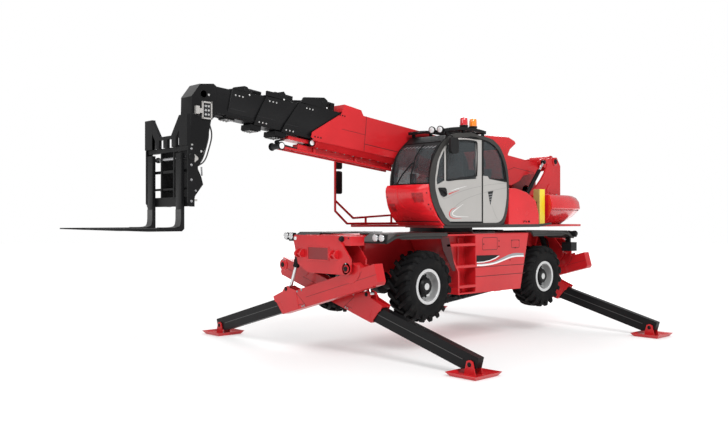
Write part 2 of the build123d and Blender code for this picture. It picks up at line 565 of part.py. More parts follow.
# ---- lift cylinder ----
lift, lift_length = lift_plane()
with BuildPart() as lift_barrel:
    disc(lift, (0, 0), 80, 180)
    with BuildSketch(Plane(origin=lift.from_local_coords(Vector(40, 0, 0)), z_dir=lift.x_dir)) as tube:
        Circle(85)
    extrude(tube.sketch, amount=LIFT_BARREL - 40)
    with BuildSketch(Plane(origin=lift.from_local_coords(Vector(82, 0, 0)), z_dir=lift.x_dir)) as bore:
        Circle(56)
    extrude(bore.sketch, amount=LIFT_BARREL, mode=Mode.SUBTRACT)
    disc(lift, (0, 0), 40.6, 300, Mode.SUBTRACT)
store(lift_barrel.part, "lift_barrel")

with BuildPart() as lift_rod:
    with BuildSketch(Plane(origin=lift.from_local_coords(Vector(lift_length - LIFT_ROD, 0, 0)), z_dir=lift.x_dir)) as bar:
        Circle(55)
    extrude(bar.sketch, amount=LIFT_ROD - 40)
    disc(lift, (lift_length, 0), 70, 170)
    disc(lift, (lift_length, 0), 38, 200, Mode.SUBTRACT)
store(lift_rod.part, "lift_rod")

# ---- fork carriage ----
FRAME_X = (FORK_FACE_X - 60, FORK_FACE_X)
with BuildPart() as carriage:
    for hand in (1, -1):
        # cheeks of the hitch either side of the head, drilled for the tilt pin
        slab(side(hand * 175), [(5500, 3180), (5860, 3215), (5860, 2390), (5720, 2388), (5556, 2430), (5528, 2545),
                                (5397, 2712), (5429, 2825), (5482, 2929), (5480, 3100)], 30)
        disc(side(hand * 175), (TILT_X, TILT_Z), 85, 30)
        # outer plate with the fork shaft's seat, and the post above it
        slab(side(hand * 580), [(5780, 3215), (5880, 3215), (5880, 2440), (5840, 2386), (5780, 2386)], 30)
        block((5840, 5895), sorted((hand * 375, hand * 590)), (3215, 3640))
        block((5850, 5895), sorted((hand * 175, hand * 290)), (3215, 3376))
        slab(across(5872), [(hand * 375, 3640), (hand * 160, 3376), (hand * 160, 3330), (hand * 290, 3330),
                            (hand * 375, 3440)], 44)
    block((5800, 5860), (-595, 595), (3150, 3215))
    block((5800, 5860), (-595, 595), (2390, 2520))
    block((5850, 5895), (-55, 55), (3215, 3376))
    block((5850, 5895), (-290, 290), (3330, 3376))
    disc(side(0), (TILT_X, TILT_Z), 45, 420)
store(carriage.part, "carriage")

with BuildPart() as forks:
    for hand in (1, -1):
        slab(side(hand * FORK_Y), [(5865, 3120), (FORK_FACE_X + 15, 3120), (FORK_FACE_X + 15, 2150),
                                   (FORK_FACE_X + 60, FORK_TOP_Z), (FORK_TIP, FORK_TOP_Z), (FORK_TIP, 2084),
                                   (6400, FORK_TOP_Z - 50), (5900, FORK_TOP_Z - 50), (5865, 2085)], FORK_WIDTH)
store(forks.part, "forks")
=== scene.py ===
# %% [markdown]
# # A rotating telehandler standing on its outriggers
# The machine has a low chassis on four wheels, a turret that turns on top of it, and a boom in five
# sections that ends in a pair of forks. Its frames, plates and tubes come from an engineering model
# whose sizes are exact. What is left for Blender is the skin: rounded edges, paint, rubber, glass,
# lamps, bolts, hoses and stripes. The engineering model is loaded first and is never moved.

import json
import math

import bmesh
import bpy
import numpy as np
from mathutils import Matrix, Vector


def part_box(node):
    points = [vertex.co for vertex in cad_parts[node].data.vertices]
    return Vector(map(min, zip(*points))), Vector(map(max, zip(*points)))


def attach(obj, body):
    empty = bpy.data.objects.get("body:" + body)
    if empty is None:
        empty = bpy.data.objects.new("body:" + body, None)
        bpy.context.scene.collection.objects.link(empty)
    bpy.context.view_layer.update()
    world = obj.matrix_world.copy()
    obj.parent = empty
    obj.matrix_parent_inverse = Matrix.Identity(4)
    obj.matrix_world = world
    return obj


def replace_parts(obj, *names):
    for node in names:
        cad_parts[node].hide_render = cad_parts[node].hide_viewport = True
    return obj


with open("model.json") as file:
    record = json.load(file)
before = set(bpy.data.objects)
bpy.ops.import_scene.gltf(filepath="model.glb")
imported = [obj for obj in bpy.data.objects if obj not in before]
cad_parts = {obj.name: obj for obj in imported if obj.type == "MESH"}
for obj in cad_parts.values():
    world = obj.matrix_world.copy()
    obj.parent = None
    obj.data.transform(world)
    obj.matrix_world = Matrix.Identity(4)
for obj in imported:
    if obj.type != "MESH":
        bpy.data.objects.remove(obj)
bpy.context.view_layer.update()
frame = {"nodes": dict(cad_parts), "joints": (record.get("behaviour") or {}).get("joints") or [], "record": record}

# %% [markdown]
# ## Places
# Every size on this machine is told from two pivots: the slewing axis, round which the turret turns,
# and the boom's foot pin. Both are joints of the engineering model, so their places are read from
# it. A detail is then placed by how far it stands from a pivot, the way a drawing would say it.

# %% Pivots and the two rulers
JOINTS = {joint["name"]: joint for joint in frame["joints"]}
BODY_OF = {node: body for body, nodes in frame["record"]["behaviour"]["bodies"].items() for node in nodes}
SLEW = np.array(JOINTS["slew"]["pos_m"], float)
BOOM_FOOT = np.array(JOINTS["boom_lift"]["pos_m"], float)
BOOM_OUT = np.array(JOINTS["telescope_2"]["axis"], float)
BOOM_UP = np.cross(BOOM_OUT, (0, 1, 0))
WHEELS = ("front_left", "front_right", "rear_left", "rear_right")


def at(x, y, z):
    """A place told from the slewing axis: x forward of it, y to the left, z above the floor."""
    x, y, z = np.broadcast_arrays(x, y, z)
    return np.stack([x + SLEW[0], y, z], axis=-1).astype(float)


def on_boom(out, up, y):
    """A place told from the boom's foot pin: out along the boom, up square to it, y to the left."""
    out, up, y = np.broadcast_arrays(out, up, y)
    place = BOOM_FOOT + out[..., None] * BOOM_OUT + up[..., None] * BOOM_UP
    return place + y[..., None] * np.array((0.0, 1.0, 0.0))


print("slewing axis", SLEW, "boom foot", BOOM_FOOT)

# %% [markdown]
# ## Meshes from grids
# Most added pieces are surfaces of two parameters: one runs along the piece and one runs round it.
# numpy works out all the points at once, and neighbours are joined by four-sided faces. A tube is a
# circle carried along a path, a turned part is a profile carried round an axis, and a plate is an
# outline with a thickness. One helper for each is enough for the whole machine.

# %% From points to a painted piece
UP = np.array((0.0, 0.0, 1.0))
SHARP_ANGLE = math.radians(35.0)


def finish_piece(name, points, faces, body, finish):
    """Puts points and faces into a mesh object, paints it and lets it ride on a body."""
    mesh = bpy.data.meshes.new(name)
    mesh.from_pydata(np.asarray(points, float).reshape(-1, 3).tolist(), [], faces)
    mesh.validate()
    mesh.polygons.foreach_set("use_smooth", np.ones(len(mesh.polygons), bool))
    mesh.set_sharp_from_angle(angle=SHARP_ANGLE)
    piece = bpy.data.objects.new(name, mesh)
    bpy.context.collection.objects.link(piece)
    mesh.materials.append(finish.material)
    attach(piece, body)
    return piece


def outward(piece):
    """Turns every face of a closed mesh to point out of it."""
    work = bmesh.new()
    work.from_mesh(piece.data)
    bmesh.ops.remove_doubles(work, verts=work.verts, dist=1e-6)
    bmesh.ops.recalc_face_normals(work, faces=work.faces)
    work.to_mesh(piece.data)
    work.free()
    piece.data.set_sharp_from_angle(angle=SHARP_ANGLE)
    return piece


print("edges sharper than", round(math.degrees(SHARP_ANGLE)), "degrees stay sharp")


# %% Faces of a grid
def grid_faces(rows, columns, start=0, wrap=True, caps=True):
    """Corner numbers of a grid's quads; wrap joins the last column to the first, caps close the ends."""
    last = columns if wrap else columns - 1
    row, column = np.meshgrid(np.arange(rows - 1), np.arange(last), indexing="ij")
    after = (column + 1) % columns
    quads = np.stack([row * columns + column, row * columns + after,
                      (row + 1) * columns + after, (row + 1) * columns + column], axis=-1).reshape(-1,
                                                                                                   4) + start
    faces = quads.tolist()
    if caps:
        faces.append(list(range(start + columns - 1, start - 1, -1)))
        faces.append(list(range(start + (rows - 1) * columns, start + rows * columns)))
    return faces


def join_grids(grids, wrap=True, caps=True):
    """Several grids of points as one list of points and one list of faces."""
    points, faces, count = [], [], 0
    for grid in grids:
        rows, columns = grid.shape[:2]
        points.append(grid.reshape(-1, 3))
        faces += grid_faces(rows, columns, count, wrap, caps)
        count += rows * columns
    return np.concatenate(points), faces


print("a grid of 5 rows and 12 columns is closed by", len(grid_faces(5, 12)), "faces")


# %% Tubes and turned parts
def circle(sides):
    """Cosines and sines of equal steps round a circle."""
    angle = np.linspace(0, 2 * np.pi, sides, endpoint=False)
    return np.cos(angle), np.sin(angle)


def frames_along(path):
    """Two directions square to a path at each of its points, turning as little as they can."""
    path = np.asarray(path, float)
    ahead = np.gradient(path, axis=0)
    ahead /= np.linalg.norm(ahead, axis=1)[:, None]
    start = UP if abs(ahead[0] @ UP) < 0.9 else np.array((1.0, 0.0, 0.0))
    side = [np.cross(start, ahead[0])]
    for step in ahead[1:]:
        side.append(side[-1] - step * (side[-1] @ step))
    side = np.array(side)
    side /= np.linalg.norm(side, axis=1)[:, None]
    return side, np.cross(ahead, side)


def tube_grid(path, radius, sides=12):
    """Rows of points round a path: centre + radius * (cos a * side + sin a * other)."""
    path = np.asarray(path, float)
    side, other = frames_along(path)
    cosine, sine = circle(sides)
    ring = cosine[None, :, None] * side[:, None, :] + sine[None, :, None] * other[:, None, :]
    return path[:, None, :] + np.asarray(radius, float).reshape(-1, 1, 1) * ring


def turned_grid(centre, axis, profile, sides=32):
    """A profile of (distance along the axis, radius) pairs carried round the axis."""
    axis = np.asarray(axis, float) / np.linalg.norm(axis)
    start = UP if abs(axis @ UP) < 0.9 else np.array((1.0, 0.0, 0.0))
    side = np.cross(start, axis)
    side /= np.linalg.norm(side)
    other = np.cross(axis, side)
    cosine, sine = circle(sides)
    ring = cosine[:, None] * side + sine[:, None] * other
    along, radius = np.asarray(profile, float).T
    return np.asarray(centre, float) + along[:, None, None] * axis + radius[:, None, None] * ring


def smooth_path(points, steps=8):
    """A path that passes near its corners: each corner is replaced by a curve of the second degree."""
    points = np.asarray(points, float)
    middles = (points[1:] + points[:-1]) / 2
    t = np.linspace(0, 1, steps, endpoint=False)[:, None]
    bends = [(1 - t) ** 2 * a + 2 * t * (1 - t) * b + t ** 2 * c
             for a, b, c in zip(middles, points[1:-1], middles[1:])]
    return np.concatenate([points[:1]] + bends + [middles[-1:], points[-1:]])


print("a bend of three corners becomes", len(smooth_path([(0, 0), (1, 0), (1, 1)])), "points")


# %% Rounded and closed pieces
def rounded(piece, width=0.004, segments=2):
    """Rounds a piece's edges, so that they catch the light as real ones do."""
    bevel = piece.modifiers.new("rounded edges", "BEVEL")
    bevel.width = width
    bevel.segments = segments
    bevel.limit_method = "ANGLE"
    bevel.angle_limit = math.radians(32)
    bevel.harden_normals = True
    return piece


def solid(name, grids, body, finish, edge=0.0):
    """One closed piece from one or more grids."""
    points, faces = join_grids(grids)
    piece = outward(finish_piece(name, points, faces, body, finish))
    return rounded(piece, edge) if edge else piece


print(len(bpy.data.meshes), "meshes before the first added piece")

# %% [markdown]
# ## Paint, rubber and glass
# A shader is a sum of small nodes. Writing those sums as Python keeps them short: a socket wrapped in
# the class below can be added to or multiplied by a number or by another socket, and each operator
# adds the Math node that does it. Every finish varies a little over the surface, because no sprayed
# panel or moulded tyre is the same everywhere.

# %% Sums of shader sockets
class Link:
    """A shader socket that Python sums can use."""

    def __init__(self, finish, socket):
        self.finish = finish
        self.socket = socket

    def maths(self, operation, *values):
        return self.finish.add("ShaderNodeMath", {"operation": operation}, dict(enumerate(values)))

    def __add__(self, other):
        return self.maths("ADD", self, other)

    def __sub__(self, other):
        return self.maths("SUBTRACT", self, other)

    def __rsub__(self, other):
        return self.maths("SUBTRACT", other, self)

    def __mul__(self, other):
        return self.maths("MULTIPLY", self, other)

    __radd__ = __add__
    __rmul__ = __mul__

    def above(self, edge, soft):
        """0 below edge, 1 above edge + soft, and a smooth ramp between."""
        return self.finish.add("ShaderNodeMapRange", {"interpolation_type": "SMOOTHSTEP"},
                               {"Value": self, "From Min": edge, "From Max": edge + soft})


print("sums of sockets are of class", Link.__name__)


# %% Finishes
class Finish:
    """One material: a Principled shader whose sockets take numbers, colours or links."""

    def __init__(self, name, slot, **sockets):
        self.slot = slot
        self.material = bpy.data.materials.new(name)
        self.material.use_nodes = True
        self.tree = self.material.node_tree
        self.shader = self.tree.nodes["Principled BSDF"]
        self.place = self.add("ShaderNodeTexCoord", out="Object")
        for socket, value in sockets.items():
            self.set(socket.replace("_", " "), value)

    def put(self, socket, value):
        if isinstance(value, Link):
            self.tree.links.new(value.socket, socket)
        elif hasattr(socket.default_value, "__len__") and len(socket.default_value) == 4:
            socket.default_value = (*value, 1.0)[:4]
        else:
            socket.default_value = value

    def set(self, socket, value):
        self.put(self.shader.inputs[socket], value)

    def add(self, kind, settings=None, values=None, out=0):
        node = self.tree.nodes.new(kind)
        for key, value in (settings or {}).items():
            setattr(node, key, value)
        for key, value in (values or {}).items():
            self.put(node.inputs[key], value)
        return Link(self, node.outputs[out])

    def noise(self, scale, detail=3.0, stretch=(1, 1, 1)):
        """Soft random values from 0 to 1, with about `scale` spots to the metre."""
        spot = self.add("ShaderNodeMapping", None, {"Vector": self.place, "Scale": stretch})
        return self.add("ShaderNodeTexNoise", None, {"Vector": spot, "Scale": scale, "Detail": detail})

    def mix(self, factor, a, b):
        """Colour a where factor is 0, colour b where it is 1."""
        return self.add("ShaderNodeMix", {"data_type": "RGBA"}, {0: factor, 6: a, 7: b}, out=2)

    def bump(self, height, strength, distance):
        """Relief: the surface tilts as if it were raised by height times distance."""
        values = {"Strength": strength, "Distance": distance, "Height": height}
        self.set("Normal", self.add("ShaderNodeBump", None, values))


print("a finish starts from", Finish.__name__)


# %% Paints
def paint(name, slot, colour, dark, rough=0.3, coat=0.5, metal=0.0, shine=0.5):
    """Sprayed paint: two close colours in soft clouds, a slight orange-peel relief and a clear coat."""
    made = Finish(name, slot, Metallic=metal, Coat_Weight=coat, Coat_Roughness=0.08, Specular_IOR_Level=shine)
    clouds = made.noise(1.3, 4.0)
    made.set("Base Color", made.mix(clouds.above(0.35, 0.35), dark, colour))
    made.set("Roughness", made.noise(5.0) * 0.12 + (rough - 0.06))
    made.bump(made.noise(420.0, 1.0), 0.05, 0.0006)
    return made


RED = paint("red_paint", "red_paint", (0.56, 0.014, 0.019), (0.48, 0.011, 0.015),
            rough=0.34, coat=0.22, shine=0.3)
RED_COVER = paint("red_cover_paint", "red_paint", (0.66, 0.013, 0.020), (0.58, 0.010, 0.015),
                  rough=0.26, coat=0.4, shine=0.3)
BLACK = paint("black_paint", "black_paint", (0.0085, 0.0085, 0.009), (0.0055, 0.0055, 0.006),
              rough=0.38, coat=0.0, shine=0.15)
GRAPHITE = paint("graphite_paint", "graphite_paint", (0.040, 0.038, 0.036), (0.030, 0.029, 0.028),
                 rough=0.45, coat=0.0, shine=0.2)
SILVER = paint("silver_paint", "silver_paint", (0.44, 0.425, 0.405), (0.405, 0.392, 0.375),
               rough=0.33, coat=0.4, metal=0.25)
RIM_SILVER = paint("rim_paint", "silver_paint", (0.60, 0.60, 0.60), (0.53, 0.53, 0.53), coat=0.2, metal=0.5)
YELLOW = paint("yellow_paint", "yellow_paint", (0.83, 0.66, 0.02), (0.76, 0.58, 0.015), rough=0.35, coat=0.4)
print(len(bpy.data.materials), "paints")

# %% Metals, rubber and plastic
def steel(name, slot, colour, rough, metal=1.0):
    """Bare or oiled metal: fine scratches run one way and the gloss changes from place to place."""
    made = Finish(name, slot, Metallic=metal)
    made.set("Base Color", made.mix(made.noise(9.0), tuple(0.8 * c for c in colour), colour))
    made.set("Roughness", made.noise(30.0, 4.0) * 0.16 + (rough - 0.08))
    made.bump(made.noise(260.0, 2.0, stretch=(1, 1, 0.1)), 0.12, 0.0004)
    return made


DARK_STEEL = steel("dark_steel", "dark_steel", (0.035, 0.035, 0.037), 0.5, metal=0.6)
BOLT_STEEL = steel("bolt_steel", "dark_steel", (0.45, 0.45, 0.46), 0.35)
CHROME = steel("chrome_rod", "chrome_rod", (0.80, 0.81, 0.82), 0.14)

TYRE = Finish("tyre_rubber", "tyre_rubber", Specular_IOR_Level=0.12)
dust = TYRE.noise(7.0, 5.0)
TYRE.set("Base Color", TYRE.mix(dust.above(0.45, 0.3), (0.0055, 0.0055, 0.006), (0.012, 0.0115, 0.011)))
TYRE.set("Roughness", dust * 0.25 + 0.55)
TYRE.bump(TYRE.noise(130.0, 4.0), 0.35, 0.0012)


def moulded(name, slot, spots, dark, light, gloss, **sockets):
    """Rubber, plastic or cloth: fine spots of two close colours; gloss is (spots, range, middle)."""
    made = Finish(name, slot, **sockets)
    made.set("Base Color", made.mix(made.noise(*spots), dark, light))
    made.set("Roughness", made.noise(gloss[0]) * gloss[1] + gloss[2])
    return made


HOSE = moulded("hose_rubber", "tyre_rubber", (20.0,), (0.008, 0.008, 0.009), (0.018, 0.018, 0.019),
               (50.0, 0.2, 0.4))
PLASTIC = moulded("black_plastic", "seat_trim", (12.0,), (0.006, 0.006, 0.0065), (0.011, 0.011, 0.0115),
                  (40.0, 0.15, 0.42), Specular_IOR_Level=0.2)
PLASTIC.bump(PLASTIC.noise(700.0, 1.0), 0.15, 0.0004)
SEAT = moulded("seat_cloth", "seat_trim", (60.0, 5.0), (0.020, 0.021, 0.023), (0.045, 0.046, 0.05),
               (90.0, 0.1, 0.8))
SEAT.bump(SEAT.noise(900.0, 1.0), 0.4, 0.0008)
print(len(bpy.data.materials), "finishes so far")

# %% Glass and lamps
GLASS = Finish("tinted_glass", "tinted_glass", Roughness=0.03, Specular_IOR_Level=0.7)
haze = GLASS.noise(2.0)
GLASS.set("Base Color", GLASS.mix(haze, (0.045, 0.055, 0.060), (0.055, 0.065, 0.070)))
GLASS.set("Alpha", haze * 0.06 + 0.42)

LENS = Finish("lamp_lens", "lamp_plastic", Roughness=0.08, Coat_Weight=1.0, Coat_Roughness=0.03)
flutes = LENS.add("ShaderNodeTexWave", {"wave_type": "BANDS", "bands_direction": "Z"},
                  {"Vector": LENS.place, "Scale": 26.0})
LENS.set("Base Color", LENS.mix(flutes, (0.42, 0.43, 0.44), (0.72, 0.72, 0.72)))
LENS.bump(flutes, 0.3, 0.002)


def lens_colour(name, colour, glow):
    """Coloured lamp plastic, a little lit from inside."""
    made = Finish(name, "lamp_plastic", Roughness=0.12, Coat_Weight=1.0, Coat_Roughness=0.03,
                  Emission_Strength=glow)
    bands = made.noise(25.0, 1.0)
    made.set("Base Color", made.mix(bands, tuple(0.75 * c for c in colour), colour))
    made.set("Emission Color", made.mix(bands, tuple(0.6 * c for c in colour), colour))
    return made


RED_LENS = lens_colour("red_lens", (0.62, 0.010, 0.020), 0.15)
AMBER_LENS = lens_colour("amber_lens", (0.90, 0.24, 0.010), 0.25)
WHITE = paint("white_stripe", "lamp_plastic", (0.82, 0.82, 0.82), (0.76, 0.76, 0.76), rough=0.35, coat=0.2)
GREY = paint("grey_stripe", "silver_paint", (0.30, 0.30, 0.31), (0.26, 0.26, 0.27), rough=0.4, coat=0.2)
# A near-black for the windscreen's printed band and a weld line, and for painted shade in openings, wells, slots
# and along the upper sections' creases.
DARK_PRINT_AND_SHADE = paint("dark_recess", "dark_steel", (0.006, 0.006, 0.007), (0.004, 0.004, 0.005), rough=0.7, coat=0.0)
print(len(bpy.data.materials), "finishes")

# %% [markdown]
# ## The engineering pieces in their paint
# Each engineering piece is shown by a copy of its own mesh. The copy's flat faces are joined up, its
# edges are rounded a little, and it gets its paint. Where one node holds several separate parts in
# different colours, the copy is split and every part is painted by where it stands.

# %% Dressing
def skin_of(node):
    """A copy of a node's mesh as a new object, with its triangles joined into whole faces."""
    work = bmesh.new()
    work.from_mesh(frame["nodes"][node].data)
    bmesh.ops.remove_doubles(work, verts=work.verts, dist=2e-5)
    bmesh.ops.dissolve_limit(work, angle_limit=math.radians(0.3), verts=work.verts, edges=work.edges)
    mesh = bpy.data.meshes.new(node + "_skin")
    work.to_mesh(mesh)
    work.free()
    skin = bpy.data.objects.new(node + "_skin", mesh)
    bpy.context.collection.objects.link(skin)
    return skin


print("faces are joined from", sum(len(item.data.polygons) for item in frame["nodes"].values()), "triangles")


# %% Dressed pieces
def dressed(node, finish, edge=0.004, paint_by=None):
    """Shows a node in a finish; paint_by(middle) gives each separate part its own finish, or drops it."""
    skin = skin_of(node)
    parts = [skin]
    if paint_by:
        bpy.ops.object.select_all(action="DESELECT")
        bpy.context.view_layer.objects.active = skin
        skin.select_set(True)
        bpy.ops.mesh.separate(type="LOOSE")
        parts = list(bpy.context.selected_objects)
    for part in parts:
        corners = np.array(part.bound_box)
        chosen = paint_by((corners.min(0) + corners.max(0)) / 2 - SLEW) if paint_by else finish
        if chosen is None:
            bpy.data.objects.remove(part)
            continue
        part.data.polygons.foreach_set("use_smooth", np.ones(len(part.data.polygons), bool))
        part.data.set_sharp_from_angle(angle=math.radians(30))
        part.data.materials.clear()
        part.data.materials.append(chosen.material)
        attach(part, BODY_OF[node])
        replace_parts(part, node)
        if edge:
            rounded(part, edge)


for node, finish, edge in (
        ("chassis_frame", RED, 0.006), ("side_boxes", RED, 0.007), ("mudguards", GRAPHITE, 0.010),
                           ("slew_ring", DARK_STEEL, 0.004), ("axles", BLACK, 0.006),
                           ("turret_frame", RED, 0.006),
                           ("engine_block", DARK_STEEL, 0.012), ("cab_frame", BLACK, 0.012),
                           ("cab_glass", GLASS, 0.0),
                           ("cab_door", SILVER, 0.006), ("door_glass", GLASS, 0.0),
                           ("mirror_guard", RED, 0.0),
                           ("boom_base", RED, 0.006), ("boom_head", BLACK, 0.006),
                           ("lift_barrel", BLACK, 0.004),
                           ("lift_rod", CHROME, 0.004), ("carriage", BLACK, 0.005), ("forks", BLACK, 0.003)):
    dressed(node, finish, edge)
for wheel in WHEELS:
    for part, finish, edge in (("knuckle", BLACK, 0.004), ("rim", RIM_SILVER, 0.003),
                               ("sleeve", RED, 0.005), ("leg", BLACK, 0.004), ("foot", RED, 0.003),
                               ("leg_barrel", BLACK, 0.004), ("leg_rod", CHROME, 0.002)):
        dressed(f"{part}_{wheel}", finish, edge)
dressed("turret_covers", RED_COVER, 0.016, paint_by=lambda middle: RED_COVER if middle[0] < 1 else None)
dressed("cab_interior", SEAT, 0.012, paint_by=lambda middle: PLASTIC if middle[0] > 0.6 else SEAT)

# %% [markdown]
# ## Small shapes used all over
# Plates, ribbons, turned parts, tubes and bolts. A plate's outline is drawn in one of four views, and
# a place function turns a point of that view into a point of the machine.

# %% Views
LEFT, AHEAD = np.array((0.0, 1.0, 0.0)), np.array((1.0, 0.0, 0.0))


def SIDE(u, v, w):
    """Seen from the left: u forward, v up, w how far to the left."""
    return at(u, w, v)


def FRONT(u, v, w):
    """Seen from the front: u to the left, v up, w how far forward."""
    return at(w, u, v)


def TOP(u, v, w):
    """Seen from above: u forward, v to the left, w height."""
    return at(u, v, w)


def BOOM(u, v, w):
    """Seen from the left of the boom: u out along it, v up square to it, w how far to the left."""
    return on_boom(u, v, w)


def span(hand, near, far):
    """Two limits on the left or in front where hand is 1, on the right or behind where it is -1."""
    return sorted((hand * near, hand * far))


print("one metre up, seen from the side, is the place", SIDE(0, 1, 0))


# %% Plates and boxes
def plate(name, view, outline, low, high, body, finish, edge=0.0):
    """An outline of (u, v) pairs with a thickness from low to high."""
    u, v = np.asarray(outline, float).T
    return solid(name, [np.stack([view(u, v, low), view(u, v, high)])], body, finish, edge)


def round_off(outline, reach=0.02, steps=4):
    """A closed outline whose corners are replaced by curves that begin `reach` before them."""
    outline = np.asarray(outline, float)
    t = np.linspace(0, 1, steps)[:, None]
    bends = []
    for before, corner, after in zip(np.roll(outline, 1, axis=0), outline, np.roll(outline, -1, axis=0)):
        start = corner + (before - corner) * min(0.45, reach / math.dist(before, corner))
        end = corner + (after - corner) * min(0.45, reach / math.dist(after, corner))
        bends.append((1 - t) ** 2 * start + 2 * t * (1 - t) * corner + t ** 2 * end)
    return np.concatenate(bends)


def rectangle(first, last, low, high):
    """The four corners of an upright rectangle."""
    return [(first, low), (last, low), (last, high), (first, high)]


def box_grid(view, u, v, w):
    """The grid of one box from its limits in a view."""
    u, v = np.array(rectangle(*u, *v)).T
    return np.stack([view(u, v, w[0]), view(u, v, w[1])])


def boxes(name, view, limits, body, finish, edge=0.0):
    """One piece of several boxes, each given by its (u, v, w) limits."""
    return solid(name, [box_grid(view, *limit) for limit in limits], body, finish, edge)


print("a square with its corners rounded has", len(round_off(rectangle(0, 1, 0, 1))), "points")


# %% Ribbons and seams
# Dark bands: on joints they are the joint's own dark line; along creases, folds, slat gaps and recess edges they
# are painted shade.
SEAM_AND_SHADE = paint("seam_shadow", "dark_steel", (0.055, 0.004, 0.005), (0.035, 0.003, 0.004), rough=0.6, coat=0.0)


def ribbon_grid(view, path, width, low, high):
    """A flat band along a path of (u, v) pairs; its width may change on the way."""
    path = np.asarray(path, float)
    ahead = np.gradient(path, axis=0)
    ahead /= np.linalg.norm(ahead, axis=1)[:, None]
    across = np.stack([-ahead[:, 1], ahead[:, 0]], axis=1) * np.asarray(width, float).reshape(-1, 1) / 2
    left, right = (path + across).T, (path - across).T
    return np.stack([view(*left, low), view(*left, high), view(*right, high), view(*right, low)], axis=1)


def ribbon(name, view, path, width, low, high, body, finish):
    """One flat band as a piece of its own."""
    return solid(name, [ribbon_grid(view, path, width, low, high)], body, finish)


def seam(name, view, path, face, body, closed=False, wide=0.012, finish=None):
    """A thin band that lies on a face along a path of (u, v) pairs: dark on joints, painted shade on creases and
    folds, painted highlight in a light finish.
    """
    path = np.asarray(path, float)
    if closed:
        path = np.concatenate([path, path[:1]])
    low, high = sorted((face - math.copysign(0.002, face), face + math.copysign(0.0012, face)))
    return ribbon(name, view, path, wide, low, high, body, finish or SEAM_AND_SHADE)


print("a straight band has", ribbon_grid(SIDE, [(0, 0), (1, 0)], 0.1, 0, 0.01).shape[0],
      "rows of four points")


# %% Turned parts, tubes, bolts and studs
def turned(name, centre, axis, profile, body, finish, sides=32):
    """One turned part as a piece of its own."""
    return solid(name, [turned_grid(centre, axis, profile, sides)], body, finish)


def tube(name, path, radius, body, finish, sides=10):
    """One round tube, bar or hose as a piece of its own."""
    return solid(name, [tube_grid(path, radius, sides)], body, finish)


def bolts(name, places, axis, size, body, finish=None):
    """Hexagon heads of that size across, each on a washer."""
    axis = np.asarray(axis, float)
    washer = [(0, 0.8 * size), (0.2 * size + 0.002, 0.8 * size)]
    head = [(0.1 * size, 0.52 * size), (0.6 * size, 0.52 * size), (0.72 * size, 0.42 * size)]
    grids = []
    for place in np.asarray(places, float).reshape(-1, 3):
        grids += [turned_grid(place - 0.002 * axis, axis, washer, 16), turned_grid(place, axis, head, 6)]
    return solid(name, grids, body, finish or BOLT_STEEL)


def dots(name, places, axis, radius, height, body, finish, sides=16):
    """Round studs or caps with a small chamfer."""
    axis = np.asarray(axis, float)
    profile = [(-0.004, radius), (0.7 * height, radius), (height, 0.8 * radius)]
    return solid(name,
                 [turned_grid(place, axis, profile, sides) for place in np.asarray(places).reshape(-1, 3)],
                 body, finish)


print("a turned disc has", turned_grid((0, 0, 0), UP, [(0, 1), (1, 1)]).shape[1], "sides")

# %% [markdown]
# ## Wheels
# The tyre is a turned carcass with two rows of lugs, set half a step apart. A lug follows a line that
# starts just past the middle of the tread, slants out to the shoulder and runs down the sidewall.

# %% Lugs
LUG_COUNT = 19
LUG_SLANT = 0.27
LUG_CHAMFER = 0.012
LUG_FOOT = 1.22  # how much wider a lug is at its base
#                       across (share of half width), top radius, base radius, half width (m)
LUG_LINE = np.array([(-0.10, 0.594, 0.535, 0.026), (0.00, 0.600, 0.535, 0.032), (0.25, 0.602, 0.535, 0.034),
                     (0.50, 0.602, 0.532, 0.036), (0.72, 0.598, 0.528, 0.038), (0.86, 0.588, 0.522, 0.040),
                     (0.95, 0.568, 0.512, 0.041), (0.99, 0.535, 0.500, 0.040), (0.985, 0.495, 0.485, 0.036)])


def lug_grids(middle, half, hand):
    """All lugs of a tyre: place = middle + across * axle + radius * (cos a, sin a) round the axle."""
    across, top, base, width = LUG_LINE.T
    edge = top - LUG_CHAMFER
    radius = np.stack([base, edge, top, top, edge, base], axis=1)
    offset = np.outer(width, (-LUG_FOOT, -1, -0.8, 0.8, 1, LUG_FOOT)) / top[:, None]
    twist = LUG_SLANT * np.clip(across, -0.1, 1.0)
    shift = np.where(radius == base[:, None], -0.04, 0.0) * np.clip(across, 0, 1)[:, None] * half
    grids = []
    for row in (1, -1):
        start = 2 * np.pi * (np.arange(LUG_COUNT) + 0.25 * row) / LUG_COUNT
        out = middle[1] + hand * (row * half * across[:, None] + row * shift)
        angle = start[:, None, None] + twist[None, :, None] + offset[None]
        x = middle[0] + radius * np.cos(angle)
        z = middle[2] + radius * np.sin(angle)
        grids += list(np.stack([x, np.broadcast_to(out, x.shape), z], axis=-1))
    return grids


print(2 * LUG_COUNT, "lugs to a tyre")

# %% Tyres, hub covers and wheel nuts
#                  across (share of half width), radius
CARCASS = np.array([(-0.840, 0.263), (-0.842, 0.300), (-0.86, 0.312), (-0.93, 0.345), (-0.975, 0.40),
                    (-0.965, 0.455), (-0.90, 0.505), (-0.78, 0.535), (-0.50, 0.548), (0.0, 0.551),
                    (0.50, 0.548), (0.78, 0.535), (0.90, 0.505), (0.965, 0.455), (0.975, 0.40),
                    (0.93, 0.345), (0.86, 0.312), (0.80, 0.300), (0.795, 0.263), (-0.840, 0.263)])
